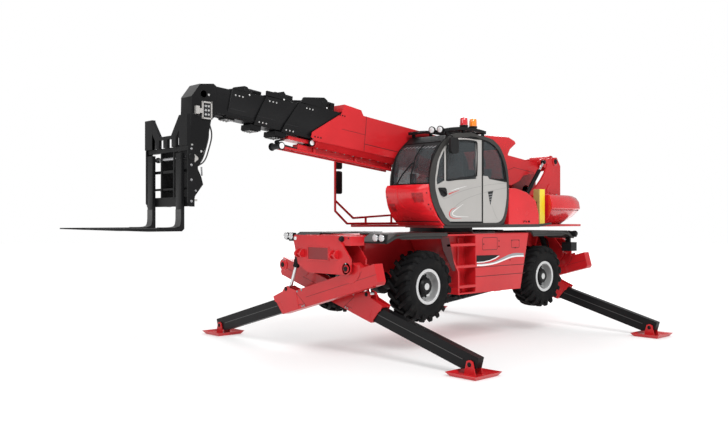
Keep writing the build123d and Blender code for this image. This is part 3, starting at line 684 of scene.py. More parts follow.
#            distance out from the rim's disc, radius
HUB_COVER = [(-0.004, 0.188), (0.020, 0.188), (0.032, 0.178), (0.034, 0.1415), (0.105, 0.1412),
             (0.131, 0.112), (0.131, 0.060), (0.126, 0.056), (0.126, 0.0005)]
NUT_CIRCLE, HUB_BOLT_CIRCLE = 0.206, 0.084
cosine, sine = circle(12)
turn = np.stack([cosine, 0 * cosine, sine], axis=1)
for wheel in WHEELS:
    low, high = (np.array(corner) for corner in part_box("tyre_" + wheel))
    middle, half = (low + high) / 2, (high[1] - low[1]) / 2
    hand = math.copysign(1.0, middle[1])
    body = "wheel_" + wheel
    carcass, carcass_faces = join_grids([turned_grid(middle, LEFT, CARCASS * (half * hand, 1.0), 76)],
                                        caps=False)
    lugs, lug_faces = join_grids(lug_grids(middle, half, hand))
    shifted = [[corner + len(carcass) for corner in face] for face in lug_faces]
    tyre = outward(finish_piece("lugged_tyre_" + wheel, np.concatenate([carcass, lugs]),
                                carcass_faces + shifted, body, TYRE))
    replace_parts(tyre, "tyre_" + wheel)
    out = LEFT * hand
    face = middle + out * 0.034
    turned("hub_cover_" + wheel, face, out, HUB_COVER, body, BLACK, 40)
    bolts("wheel_nuts_" + wheel, face + NUT_CIRCLE * turn, out, 0.026, body, DARK_STEEL)
    bolts("hub_bolts_" + wheel, face + out * 0.128 + HUB_BOLT_CIRCLE * turn[::2], out, 0.018, body,
          DARK_STEEL)
    print(body, "tyre with", len(tyre.data.polygons), "faces")

# %% [markdown]
# ## Cab
# A broad frame runs round the whole side of the cab. Its inner edge holds the silver door and the silver
# panel behind it. Both loops are told as distances from one middle point and are joined into a ring,
# because a ring of matched points closes without a seam.

# %% The two loops of the cab's frame
CAB_MIDDLE = np.array((0.52, 2.90))
#                 forward, up
RING_OUT = np.array([(1.300, 2.112), (1.464, 2.280), (1.577, 2.429), (1.667, 2.652), (1.690, 2.844),
                     (1.672, 2.994), (1.600, 3.207), (1.463, 3.410), (1.302, 3.572), (1.114, 3.680),
                     (0.801, 3.716), (0.375, 3.712), (0.150, 3.695), (-0.097, 3.640), (-0.259, 3.536),
                     (-0.423, 3.300), (-0.505, 3.053), (-0.523, 2.754), (-0.490, 2.420), (-0.400, 2.180),
                     (-0.330, 2.112)] + [(x, 2.112) for x in np.linspace(-0.25, 1.22, 16)])
RING_IN = np.array([(1.180, 2.150), (1.265, 2.230), (1.372, 2.352), (1.470, 2.521), (1.540, 2.699),
                    (1.553, 2.848), (1.530, 3.059), (1.450, 3.259), (1.340, 3.425), (1.185, 3.555),
                    (0.971, 3.625), (0.727, 3.650), (0.324, 3.650), (0.190, 3.635), (0.037, 3.600),
                    (-0.130, 3.530), (-0.260, 3.420), (-0.385, 3.215), (-0.455, 2.969), (-0.472, 2.780),
                    (-0.445, 2.503), (-0.360, 2.240), (-0.250, 2.160)] +
                   [(x, 2.150) for x in np.linspace(-0.18, 1.10, 14)])
FULL_TURN = 2 * np.pi


def bearing_of(points):
    """The angle of each point round the cab's middle, from 0 to a full turn."""
    ahead, up = (points - CAB_MIDDLE).T
    return np.arctan2(up, ahead) % FULL_TURN


def loop_at(points, angles):
    """A loop's points at given angles round the cab's middle, evened out between its corners."""
    bearing = bearing_of(points)
    order = np.argsort(bearing)
    fine = np.linspace(0, FULL_TURN, 720, endpoint=False)
    reach = np.interp(fine, bearing[order], np.hypot(*(points - CAB_MIDDLE)[order].T), period=FULL_TURN)
    reach = sum(np.roll(reach, step) for step in range(-6, 7)) / 13
    reach = np.interp(angles, fine, reach, period=FULL_TURN)
    return CAB_MIDDLE + reach[:, None] * np.stack([np.cos(angles), np.sin(angles)], axis=1)


turns = np.linspace(0, FULL_TURN, 96, endpoint=False)
ring_out, ring_in = loop_at(RING_OUT, turns), loop_at(RING_IN, turns)
print("the frame is", np.round(np.hypot(*(ring_out - ring_in).T).min(), 3), "m wide where it is narrowest")

# %% Cab frame and the panel behind the door
for name, low, high in (("cab_ring", 1.196, 1.216), ("cab_ring_right", 0.274, 0.294)):
    around = [SIDE(*loop.T, level) for loop, level in ((ring_out, low), (ring_out, high), (ring_in, high),
                                                       (ring_in, low), (ring_out, low))]
    points, faces = join_grids([np.stack(around)], caps=False)
    rounded(outward(finish_piece(name, points, faces, "turret", GRAPHITE)), 0.006)

behind = ring_in[(ring_in[:, 0] < 0.235) & (ring_in[:, 1] < 2.955)]
behind = behind[np.argsort(bearing_of(behind))]
quarter = np.concatenate([[(0.240, 2.150), (0.240, 2.996), (0.116, 2.994), (0.094, 2.985), (0.080, 2.962),
                           (0.060, 2.945)], behind])
plate("quarter_panel", SIDE, quarter, 1.190, 1.206, "turret", SILVER, 0.004)
# The intake is a dark plate under its slats: painted shade in the opening.
plate("intake", SIDE, [(0.108, 2.713), (-0.056, 2.733), (-0.040, 2.700), (0.032, 2.471)], 1.204, 1.208,
      "turret", DARK_PRINT_AND_SHADE)
slats = [[(0.098 - 0.02 * k, 2.66 - 0.045 * k), (-0.038 + 0.012 * k, 2.675 - 0.045 * k)] for k in range(4)]
solid("intake_slats", [ribbon_grid(SIDE, slat, 0.010, 1.207, 1.211) for slat in slats], "turret", GREY)
print("the panel behind the door has", len(quarter), "corners and", len(slats), "slats")

# %% Door: window, post and handle
WINDOW = smooth_path([(0.426, 2.99), (0.410, 3.20), (0.413, 3.560), (0.430, 3.600), (0.800, 3.600),
                      (1.185, 3.545), (1.240, 3.520), (1.246, 3.20), (1.244, 2.895), (1.225, 2.872),
                      (0.860, 2.925), (0.490, 2.975)])
ribbon("window_gasket", SIDE, np.concatenate([WINDOW, WINDOW[:2]]), 0.026, 1.196, 1.206, "door", PLASTIC)
plate("door_post", SIDE, [(1.262, 2.868), (1.300, 2.852), (1.302, 3.390), (1.262, 3.455)], 1.190, 1.203,
      "door", SILVER, 0.003)
plate("door_handle_cup", SIDE,
      [(1.464, 2.732), (1.440, 2.752), (1.290, 2.754), (1.256, 2.730), (1.232, 2.647),
       (1.250, 2.615), (1.325, 2.594), (1.395, 2.622)], 1.198, 1.212, "door", PLASTIC, 0.004)
tube("door_handle", smooth_path(SIDE([1.42, 1.40, 1.28, 1.27], [2.715, 2.72, 2.66, 2.645],
                                     [1.208, 1.236, 1.236, 1.208])), 0.010, "door", PLASTIC)
print("the window's gasket follows", len(WINDOW), "points")

# %% Door: creases and stripes
# The creases of the door and the panel are bands of darker silver: painted shade along each crease.
CREASE_SHADE = paint("crease_shade", "silver_paint", (0.30, 0.29, 0.28), (0.27, 0.26, 0.25), rough=0.5, coat=0.1)
RED_LINE = paint("red_stripe", "red_paint", (0.62, 0.012, 0.018), (0.55, 0.010, 0.015), rough=0.35, coat=0.3)
DOOR_FACE, PANEL_FACE, CREASE_LIFT, STRIPE_LIFT = 1.198, 1.204, 0.0032, 0.0042
#           name, body, face, width, line
CREASES = (("door_crease_upper", "door", DOOR_FACE, 0.007,
            [(1.372, 2.600), (1.302, 2.548), (0.995, 2.668), (0.628, 2.755), (0.290, 2.808)]),
           ("door_crease_lower", "door", DOOR_FACE, 0.007,
            [(1.138, 2.358), (1.043, 2.420), (0.874, 2.515), (0.628, 2.605), (0.290, 2.678)]),
           ("quarter_crease_upper", "turret", PANEL_FACE, 0.007,
            [(0.220, 2.820), (0.0, 2.850), (-0.440, 2.888)]),
           ("quarter_crease_lower", "turret", PANEL_FACE, 0.007,
            [(0.220, 2.690), (-0.096, 2.750), (-0.450, 2.800)]),
           ("quarter_crease_rear", "turret", PANEL_FACE, 0.006,
            [(-0.02, 2.46), (-0.10, 2.30), (-0.18, 2.215)]))
for name, body, face, width, line in CREASES:
    ribbon(name, SIDE, smooth_path(line), width, face, face + CREASE_LIFT, body, CREASE_SHADE)
HOOK_OUT = smooth_path([(0.985, 2.415), (1.120, 2.390), (1.190, 2.300), (1.120, 2.225), (0.850, 2.232)])
HOOK_IN = smooth_path([(0.800, 2.480), (0.970, 2.400), (1.115, 2.320), (1.040, 2.262), (0.660, 2.258)])
swell = np.sin(np.linspace(0.05, np.pi - 0.05, len(HOOK_OUT)))
#            name, line, width along it, finish
STRIPES = (("door_hook_red", HOOK_OUT, 0.004 + 0.016 * swell, RED_LINE),
           ("door_hook_white", HOOK_IN, 0.004 + 0.010 * swell, WHITE),
           ("door_dash_red", [(1.19, 2.645), (1.10, 2.672), (0.90, 2.72)], (0.022, 0.014, 0.003), RED_LINE),
           ("door_dash_white", [(1.14, 2.700), (1.00, 2.735), (0.70, 2.80)], (0.004, 0.010, 0.003), WHITE))
for name, line, width, finish in STRIPES:
    ribbon(name, SIDE, line, width, DOOR_FACE, DOOR_FACE + STRIPE_LIFT, "door", finish)
print(len(CREASES), "creases and", len(STRIPES), "stripes")

# %% Windscreen border
SCREEN_RIGHT, SCREEN_LEFT, SCREEN_TOP = 0.345, 1.145, 3.53


def windscreen(y, z, ahead=0.0):
    """A place just in front of the windscreen, by its height and how far ahead of the glass it stands."""
    x = np.interp(z, (2.80, 2.90, 3.078, 3.296, 3.434, 3.530), (1.657, 1.657, 1.632, 1.568, 1.464, 1.352))
    return at(x + 0.004 + ahead, y, z)


rows = np.linspace(0, 1, 8)[:, None]
across = np.linspace(SCREEN_RIGHT, SCREEN_LEFT, 40)[None, :]
band = windscreen(across + 0 * rows, SCREEN_TOP - rows * (0.055 + 0.05 * (across - SCREEN_RIGHT)))
finish_piece("windscreen_band", *join_grids([band.transpose(1, 0, 2)], wrap=False, caps=False),
             "turret", DARK_PRINT_AND_SHADE)
dash_across, dash_up = np.array((0, 0.055, 0.055, 0)), np.array((0.0, 0.035, 0.018, -0.012))
dashes = [np.stack([windscreen(y + dash_across, 3.455 - 0.03 * (y - SCREEN_RIGHT) + dash_up) + lift * AHEAD
                    for lift in (0.001, 0.004)]) for y in np.arange(0.40, 1.10, 0.085)]
solid("windscreen_dashes", dashes, "turret", GREY)
print("a band and", len(dashes), "dashes along the windscreen's upper edge")

# %% Wiper and mirror
tube("wiper_arm", windscreen([0.452, 0.62, 0.80], [2.80, 2.99, 3.17], [0.05, 0.075, 0.07]), 0.014, "turret",
     PLASTIC, 8)
turned("wiper_pivot", at(1.665, 0.452, 2.79), AHEAD, [(0, 0.034), (0.05, 0.034), (0.06, 0.024)], "turret",
       PLASTIC, 20)
heights = np.linspace(2.82, 3.50, 14)
tube("wiper_blade", windscreen(0.80 + 0.10 * (heights - 3.17), heights, 0.024), 0.012, "turret", PLASTIC, 8)
tube("wiper_link", windscreen([0.80, 0.80], [3.17, 3.17], [0.07, 0.02]), 0.010, "turret", PLASTIC, 8)
plate("mirror_head", SIDE,
      smooth_path([(1.20, 3.606), (1.312, 3.604), (1.316, 3.46), (1.314, 3.330), (1.20, 3.326),
                   (1.112, 3.332), (1.108, 3.46), (1.112, 3.604), (1.19, 3.606)]),
      1.295, 1.365, "turret", PLASTIC, 0.012)
tube("mirror_arm",
     smooth_path(at([1.23, 1.30, 1.26, 1.22], [1.185, 1.26, 1.33, 1.33], [3.64, 3.66, 3.64, 3.58])), 0.012,
     "turret", PLASTIC)
print("the wiper's blade is", round(heights[-1] - heights[0], 2), "m high")

# %% Roof guard
ROOF_RISE = smooth_path([(1.262, 3.742), (1.05, 3.778), (0.757, 3.812), (0.40, 3.812), (0.11, 3.782)])
for y in (0.34, 1.15):
    ribbon(f"guard_rail_{round(100 * y)}", SIDE, ROOF_RISE, 0.055, y - 0.02, y + 0.02, "turret", BLACK)
guard_bars = [ribbon_grid(SIDE, ROOF_RISE, 0.022, y - 0.008, y + 0.008) for y in np.linspace(0.43, 1.06, 8)]
solid("guard_bars", guard_bars, "turret", BLACK)
boxes("guard_cross_bars", TOP, [((x - 0.02, x + 0.02), (0.34, 1.15), (z - 0.026, z + 0.008))
                                for x, z in ((1.24, 3.744), (0.757, 3.808), (0.14, 3.784))], "turret", BLACK)
boxes("guard_feet", TOP, [((x - 0.03, x + 0.03), (y - 0.015, y + 0.015), (z - 0.10, z))
                          for y in (0.36, 1.13) for x, z in ((1.16, 3.76), (0.70, 3.80), (0.16, 3.77))],
      "turret", BLACK)
print("the roof guard has", len(guard_bars), "bars")

# %% Work lamps and beacons
#             distance along the lamp's axis, radius
LAMP_CASE = np.array([(-0.055, 0.030), (-0.045, 0.052), (-0.010, 0.060), (0.0, 0.061), (0.0, 0.054)])
LAMP_LENS = np.array([(-0.014, 0.052), (-0.002, 0.052), (0.006, 0.034), (0.009, 0.010)])
BEACON_BASE = [(-0.01, 0.030), (0.045, 0.030), (0.055, 0.062), (0.085, 0.078), (0.105, 0.078)]
BEACON_LENS = [(0.104, 0.066), (0.125, 0.070), (0.215, 0.066), (0.240, 0.058), (0.255, 0.035), (0.259, 0.006)]
LAMP_SIZE = 1.05
for name, y, x in (("inner", 0.94, 1.335), ("outer", 1.10, 1.305)):
    for part, profile, finish in (("case", LAMP_CASE, PLASTIC), ("lens", LAMP_LENS, LENS)):
        turned(f"roof_lamp_{name}_{part}", at(x, y, 3.752), (1.0, 0.12, -0.10), LAMP_SIZE * profile, "turret",
               finish, 24)
for name, x, finish in (("red", 0.475, RED_LENS), ("amber", 0.212, AMBER_LENS)):
    base = at(x, 0.95, 3.80)
    foot = turned(f"beacon_base_{name}", base, UP, BEACON_BASE, "turret", PLASTIC, 28)
    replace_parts(foot, "cab_lamps")
    turned(f"beacon_lens_{name}", base, UP, BEACON_LENS, "turret", finish, 28)
print("lamps on the roof stand", round(3.80 + BEACON_LENS[-1][0], 2), "m above the floor")


# %% [markdown]
# ## Shells that curve or taper
# Some of the machine's big forms are not flat plates: the counterweight is drawn in towards its top
# and bottom, the nose under the windscreen bends round the cab's corner, and every tube of the boom
# is folded in along its lower edges. Each is one grid of points, worked out from a short table.

# %% Counterweight
#              height, how far the outer side is drawn in there
WEIGHT_LEVELS = np.array([(2.110, 0.380), (2.270, 0.150), (2.440, 0.0), (2.580, 0.020), (2.670, 0.075),
                          (2.715, 0.150)])


def weight_grid():
    """The counterweight's outline at each level; the outer side is drawn in by that level's amount."""
    rows = []
    for z, inset in WEIGHT_LEVELS:
        x, y = np.array([(-2.100, 0.350), (-2.100, 1.130 - inset / 2), (-2.900, 1.150 - inset),
                         (-3.450 + inset / 2, 0.960 - inset), (-3.700 + inset, 0.640 - inset / 2),
                         (-3.760 + inset, 0.300), (-3.760 + inset, -0.300),
                         (-3.700 + inset, -0.640 + inset / 2), (-3.450 + inset / 2, -0.960 + inset),
                         (-3.310, -1.000 + inset), (-3.310, -0.350), (-3.655, -0.350), (-3.655, 0.350)]).T
        rows.append(at(x, y, z))
    return np.stack(rows)


weight = solid("weight_shell", [weight_grid()], "turret", RED_COVER, edge=0.018)
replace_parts(weight, "counterweight")
print("the counterweight has", len(weight.data.polygons), "faces before its edges are rounded")

# %% Nose under the windscreen
#       height, against the cab, outer reach at the middle, outer reach at the cab's corner
NOSE = np.array([(2.110, 1.290, 1.505, 1.325), (2.255, 1.462, 1.670, 1.500), (2.430, 1.575, 1.772, 1.615),
                 (2.600, 1.645, 1.818, 1.672), (2.735, 1.680, 1.830, 1.702), (2.800, 1.690, 1.775, 1.704)])
#                how far to the left, share of the way from the corner's reach to the middle's
BAYS = np.array([(0.295, 0.9), (0.460, 0.97), (0.620, 1.0), (0.800, 0.94), (0.980, 0.8), (1.100, 0.45),
                 (1.195, 0.0)])
heights = np.linspace(NOSE[0, 0], NOSE[-1, 0], 15)
inner, middle, corner = (np.interp(heights, NOSE[:, 0], column) for column in NOSE.T[1:])
rows = []
for y, share in BAYS:
    x = np.concatenate([inner, (corner + share * (middle - corner))[::-1]])
    rows.append(at(x, y, np.concatenate([heights, heights[::-1]])))
nose = solid("nose_shell", [np.stack(rows)], "turret", RED_COVER)
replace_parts(nose, "turret_covers")
print("the nose reaches", NOSE[:, 2].max(), "m ahead of the slewing axis")

# %% Hose channel
CHANNEL_HEIGHT = (2.110, 2.820)
# The channel's front face is its yellow paint made darker: painted shade on that face.
CHANNEL_FRONT_SHADE = paint("channel_shade", "yellow_paint", (0.42, 0.32, 0.10), (0.36, 0.27, 0.08), rough=0.5, coat=0.1)
boxes("hose_channel", TOP, [((-2.035, -1.860), (0.975, 1.000), CHANNEL_HEIGHT),
                            ((-2.035, -1.860), (0.865, 0.890), CHANNEL_HEIGHT),
                            ((-1.885, -1.860), (0.890, 0.975), CHANNEL_HEIGHT)], "turret", YELLOW)
boxes("hose_channel_front", TOP, [((-1.860, -1.835), (0.865, 1.000), CHANNEL_HEIGHT)], "turret", CHANNEL_FRONT_SHADE,
      edge=0.004)
print("the channel is", round(CHANNEL_HEIGHT[1] - CHANNEL_HEIGHT[0], 2), "m high")

# %% Boom tubes
#         body, half width, top, low, wall, tail, front edge as (out, up) pairs from top to bottom
TUBES = (("boom_2", 0.220, -0.152, -0.684, 0.012, 1.250,
          [(7.095, -0.152), (7.174, -0.291), (7.336, -0.490), (7.373, -0.684)]),
         ("boom_3", 0.195, -0.180, -0.662, 0.010, 1.280,
          [(7.722, -0.180), (7.720, -0.241), (7.867, -0.477), (7.877, -0.662)]),
         ("boom_4", 0.170, -0.208, -0.640, 0.010, 1.310, [(8.321, -0.208), (8.344, -0.227), (8.376, -0.640)]))
#          body, crest outline above the tube as (out, up) pairs; CREST_WALL below is the thickness of its two side
#          plates
CRESTS = (("boom_2",
           [(6.559, -0.160), (6.524, -0.017), (6.604, 0.023), (7.017, -0.060), (7.062, -0.140),
            (7.090, -0.170)]),
          ("boom_3", [(7.250, -0.190), (7.289, -0.160), (7.408, -0.053), (7.558, -0.105), (7.725, -0.109),
                      (7.722, -0.200)]),
          ("boom_4", [(8.002, -0.215), (8.067, -0.130), (8.118, -0.123), (8.297, -0.182), (8.330, -0.220)]))
#         where the tray under the tube's mouth starts and ends, half width, underside
TRAYS = {"boom_2": (7.270, 7.480, 0.150, -0.760), "boom_3": (7.730, 7.930, 0.125, -0.738)}
FOLD_RISE, FOLD_IN, CREST_WALL = 0.130, 0.055, 0.040


def tube_profile(half, top, low):
    """The section across a boom tube: a box whose lower corners are folded in."""
    y = np.array([-half, half, half, half - FOLD_IN, FOLD_IN - half, -half])
    n = np.array([top, top, low + FOLD_RISE, low, low, low + FOLD_RISE])
    return y, n


print(len(TUBES), "tubes, told by tables")

# %% Tubes, trays and crests
CREST_OF, TUBE_TOP = dict(CRESTS), {body: top for body, _, top, *_ in TUBES}
for body, half, top, low, wall, tail, front in TUBES:
    outs, ups = np.array(front)[::-1].T
    ring_y, ring_n = tube_profile(half, top, low)
    bore_y, bore_n = tube_profile(half - wall, top - 0.016, low + wall)
    tube_rows = [on_boom(tail, ring_n, ring_y), on_boom(np.interp(ring_n, ups, outs), ring_n, ring_y),
                 on_boom(np.interp(bore_n, ups, outs), bore_n, bore_y), on_boom(tail, bore_n, bore_y),
                 on_boom(tail, ring_n, ring_y)]
    points, faces = join_grids([np.stack(tube_rows)], caps=False)
    shell = rounded(outward(finish_piece(f"{body}_shell", points, faces, body, BLACK)), 0.004)
    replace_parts(shell, body.replace("boom_", "boom_section_"))
    if body in TRAYS:
        first, last, reach, foot = TRAYS[body]
        boxes(f"{body}_tray", BOOM, [((first, last), (foot, low + 0.004), (-reach, reach))], body, BLACK,
              edge=0.005)
    for hand in (1, -1):
        plate(f"{body}_crest_{hand}", BOOM, CREST_OF[body], *span(hand, half, half - CREST_WALL), body, BLACK,
              0.004)
    print(body, "tube is", round(max(outs) - tail, 2), "m long")

# %% What hangs under the boom's base
y, n = np.array([(-0.245, -0.700), (0.245, -0.700), (0.160, -0.805), (-0.160, -0.805)]).T
solid("boom_keel", [np.stack([on_boom(s, n, y) for s in (2.0, 6.68)])], "boom", RED, edge=0.006)
rails = [((4.80, 7.32), (-0.918, -0.885), span(hand, 0.075, 0.105)) for hand in (1, -1)]
rails += [((s - 0.025, s + 0.025), (-0.890, -0.790), span(hand, 0.078, 0.102))
          for s in (4.85, 5.70, 6.62) for hand in (1, -1)]
boxes("boom_rails", BOOM, rails, "boom", RED, edge=0.003)
boxes("boom_rail_web", BOOM, [((4.80, 6.95), (-0.890, -0.795), (-0.070, 0.070))], "boom", RED, edge=0.004)
boxes("boom_tray", BOOM, [((6.60, 7.19), (-0.760, -0.702), (-0.115, 0.115))], "boom", RED, edge=0.004)
#          out, up, half length, radius, radius of its white cap
ROLLERS = ((7.316, -0.890, 0.120, 0.048, 0.046), (6.742, -0.745, 0.150, 0.036, 0.040))
solid("boom_rollers", [turned_grid(on_boom(out, up, -half), LEFT, [(0, radius), (2 * half, radius)], 28)
                       for out, up, half, radius, _ in ROLLERS], "boom", BLACK)
print(len(rails), "bars and", len(ROLLERS), "rollers under the boom")

# %% [markdown]
# ## Plates and brackets of the chassis
# The end plates have round bosses at the outriggers' pins, a frame with a grille, and two towing eyes
# between pairs of cheeks. A crossbeam above them carries the road lamps, and the rear lamp boxes hang
# from the mudguards.

# %% End plates and towing eyes
PIN_OUT, PIN_UP = 0.808, 1.435  # the outriggers' pivots, to the side and above the floor
TOW_EYES = (-0.320, 0.545)
# The sunk grille's well is the red paint made darker: painted shade in the recess.
GRILLE_WELL_SHADE = paint("grille_shade", "red_paint", (0.24, 0.008, 0.010), (0.20, 0.007, 0.009), rough=0.5,
                   coat=0.1)
TOW_SIDE = [(3.195, 1.580), (3.195, 1.725), (3.250, 1.708), (3.290, 1.665), (3.290, 1.620), (3.250, 1.585)]
for end_name, end in (("front", 1), ("rear", -1)):
    bosses = [turned_grid(at(end * 3.170, hand * PIN_OUT, PIN_UP), end * AHEAD, [(0, 0.099), (0.030, 0.099)],
                          48)
              for hand in (1, -1)]
    solid(f"plate_bosses_{end_name}", bosses, "chassis", RED, edge=0.004)
    depth = span(end, 3.195, 3.209)
    frame_bars = [((-0.150, 0.394), z, depth) for z in ((1.535, 1.557), (1.753, 1.775))]
    frame_bars += [(y, (1.557, 1.753), depth) for y in ((-0.150, -0.128), (0.372, 0.394))]
    boxes(f"grille_frame_{end_name}", FRONT, frame_bars, "chassis", RED, edge=0.003)
    boxes(f"grille_well_{end_name}", FRONT, [((-0.130, 0.374), (1.555, 1.755), span(end, 3.196, 3.2015))],
          "chassis", GRILLE_WELL_SHADE)
    for eye in TOW_EYES:
        for cheek in (eye - 0.060, eye + 0.060):
            plate(f"tow_cheek_{end_name}_{round(1000 * cheek)}", SIDE, [(end * x, z) for x, z in TOW_SIDE],
                  cheek - 0.018, cheek + 0.018, "chassis", RED, 0.004)
    print(end_name, "end plate:", len(bosses), "bosses and", len(TOW_EYES), "towing eyes")

# %% Cross beams and lamp boxes
LAMP_PLACES, LAMP_UP = (1.075, 1.215), 1.920
for end_name, end in (("front", 1), ("rear", -1)):
    boxes(f"cross_beam_{end_name}", TOP, [(span(end, 2.875, 3.171), (0.300, 0.880), (1.796, 1.950))],
          "chassis", RED, edge=0.006)
    for hand in (1, -1):
        boxes(f"lamp_housing_{end_name}_{hand}", TOP,
              [(span(end, 2.746, 2.790), span(hand, 1.010, 1.278), (1.850, 1.975))], "chassis", PLASTIC,
              edge=0.010)
        cups = [turned_grid(at(end * 2.776, hand * y, LAMP_UP), end * AHEAD,
                            [(0, 0.050), (0.010, 0.062), (0.048, 0.062)], 32)
                for y in LAMP_PLACES]
        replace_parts(solid(f"lamp_cups_{end_name}_{hand}", cups, "chassis", PLASTIC), "chassis_lamps")
for hand in (1, -1):
    boxes(f"tail_box_{hand}", TOP, [((-2.870, -2.650), span(hand, 1.000, 1.230), (1.560, 1.740)),
                                    ((-2.740, -2.690), span(hand, 1.060, 1.170), (1.730, 1.945))],
          "chassis", PLASTIC, edge=0.008)
print("road lamps stand", LAMP_UP, "m above the floor")

# %% [markdown]
# ## Road lamps and the driver's place
# Each lamp is a black housing with a fluted lens in a bright rim. Behind the glass there is the seat
# with its armrests and levers, the steering wheel on its column, and a screen.

# %% Road lamps
#              part, end of the machine, how far from the middle, profile, finish
ROAD_LAMPS = (("head_lamp_rim", 1, 2.822, [(0, 0.060), (0.010, 0.060), (0.014, 0.054), (0.004, 0.050)],
               (CHROME, CHROME)),
              ("head_lamp", 1, 2.824, [(0, 0.051), (0.006, 0.051), (0.013, 0.034), (0.015, 0.010)],
               (LENS, LENS)),
              ("tail_lamp", -1, 2.822, [(0, 0.052), (0.010, 0.052), (0.016, 0.040)], (AMBER_LENS, RED_LENS)))
for hand in (1, -1):
    for number, y in enumerate(LAMP_PLACES):
        for name, end, reach, profile, finishes in ROAD_LAMPS:
            turned(f"{name}_{hand}_{number}", at(end * reach, hand * y, LAMP_UP), end * AHEAD, profile,
                   "chassis", finishes[number], 28)
    plate(f"tail_box_lens_{hand}", FRONT, rectangle(*span(hand, 1.02, 1.21), 1.59, 1.71), -2.878, -2.866,
          "chassis", RED_LENS, 0.004)
print(len(ROAD_LAMPS), "kinds of lamp part, four of each")

# %% Driver's place
boxes("head_rest", SIDE, [((-0.27, -0.17), (3.17, 3.36), (0.64, 0.88))], "turret", SEAT, edge=0.03)
boxes("arm_rests", SIDE, [((-0.10, 0.28), (2.70, 2.75), y) for y in ((0.50, 0.57), (0.95, 1.02))], "turret",
      PLASTIC, edge=0.015)
boxes("arm_posts", SIDE, [((-0.10, -0.02), (2.42, 2.71), y) for y in ((0.515, 0.555), (0.965, 1.005))],
      "turret", PLASTIC)
for number, y in enumerate((0.535, 0.985)):
    tube(f"lever_{number}", smooth_path(at([0.24, 0.25, 0.27], y, [2.74, 2.82, 2.90]), 4), 0.010, "turret",
         PLASTIC, 10)
    turned(f"lever_knob_{number}", at(0.268, y, 2.885), (0.2, 0, 1),
           [(0, 0.016), (0.02, 0.028), (0.06, 0.028), (0.075, 0.014)], "turret", PLASTIC, 20)
boxes("screen", FRONT, [((0.42, 0.56), (2.82, 3.02), (1.30, 1.33))], "turret", PLASTIC, edge=0.006)
RIM_RADIUS, RIM_TILT = 0.185, np.array((0.87, 0.0, 0.5))
angle = np.linspace(0, FULL_TURN, 49)
rim = at(1.0, 0.760, 2.885) + RIM_RADIUS * (np.cos(angle)[:, None] * RIM_TILT + np.sin(angle)[:, None] * LEFT)
tube("steering_rim", rim, 0.014, "turret", PLASTIC, 12)
print("the steering wheel is", round(2 * RIM_RADIUS, 2), "m across")

# %% [markdown]
# ## Side boxes, steps and mudguards
# The boxes between the wheels are lockers and tanks. Their doors are only lines on the sheet metal
# with round locks. The left box carries two stripes that sweep up to the back, and the steps up to
# the cab. The right box has the same doors and the filler caps of the tanks.

# %% Side boxes
BOX_FACE = 1.220
#          forward, height
SWEEP_TOP = [(0.443, 1.423), (0.238, 1.418), (-0.033, 1.432), (-0.279, 1.497), (-0.532, 1.565),
             (-0.726, 1.584), (-0.980, 1.570)]
SWEEP_LOW = [(0.443, 1.401), (0.238, 1.396), (-0.063, 1.412), (-0.311, 1.459), (-0.564, 1.516),
             (-0.758, 1.529), (-0.990, 1.523)]
FLAG = [(0.455, 1.572), (-0.217, 1.561), (-0.094, 1.513), (0.088, 1.473), (0.267, 1.456), (0.455, 1.456)]
DOORS = ([(0.282, 1.883), (-0.155, 1.883), (-0.155, 1.663), (0.282, 1.663)],
         [(-0.596, 1.825), (-0.841, 1.825), (-0.841, 1.681), (-0.596, 1.681)])
LOCKS = [(0.247, 1.769), (-0.208, 1.818), (-0.208, 1.715), (-0.548, 1.46), (-0.603, 1.82), (-0.831, 1.82),
         (-0.71, 1.68)]


def swept(top, low):
    """A band between two smooth lines, as one outline."""
    upper, lower = smooth_path(top, 6), smooth_path(low, 6)
    return np.concatenate([upper, lower[::-1]])


for side_name, hand in (("left", 1), ("right", -1)):
    face = hand * BOX_FACE
    skin, over = (span(hand, BOX_FACE - 0.003, BOX_FACE + proud) for proud in (0.0012, 0.0020))
    shift, fold_end, lip_end = (0.0, 0.478, 0.47) if hand > 0 else (0.35, 1.0, 1.34)
    plate(f"box_stripe_white_{side_name}", SIDE, swept([(x, z - 0.004) for x, z in SWEEP_TOP],
                                                       [(x, z - 0.020) for x, z in SWEEP_LOW]), *skin,
          "chassis", WHITE)
    plate(f"box_stripe_grey_{side_name}", SIDE, swept(SWEEP_TOP, [(x, z + 0.008) for x, z in SWEEP_LOW]),
          *over, "chassis", GREY)
    plate(f"box_flag_line_{side_name}", SIDE, [(x - 0.012, z - 0.016) for x, z in FLAG[1:]] +
          [(FLAG[0][0], FLAG[0][1] - 0.02)], *skin, "chassis", WHITE)
    plate(f"box_flag_{side_name}", SIDE, FLAG, *over, "chassis", BLACK)
    for number, door in enumerate(DOORS):
        seam(f"box_door_{side_name}_{number}", SIDE, round_off([(x + shift, z) for x, z in door], 0.03), face,
             "chassis", closed=True, wide=0.009)
    # The dark lines along the box's folds are painted shade.
    for z in (1.361, 1.194):
        seam(f"box_fold_{side_name}_{round(1000 * z)}", SIDE, [(-1.03, z), (fold_end, z)], face, "chassis",
             wide=0.010)
    dots(f"box_locks_{side_name}", [at(x + shift, face, z) for x, z in LOCKS], hand * LEFT, 0.013, 0.005,
         "chassis", PLASTIC, sides=14)
    # a rolled lip along the top edge
    tube(f"box_top_lip_{side_name}", at([-1.12, lip_end], face - hand * 0.006, 1.944), 0.010, "chassis", RED)
print("each side box has", len(DOORS), "door lines and", len(LOCKS), "locks")

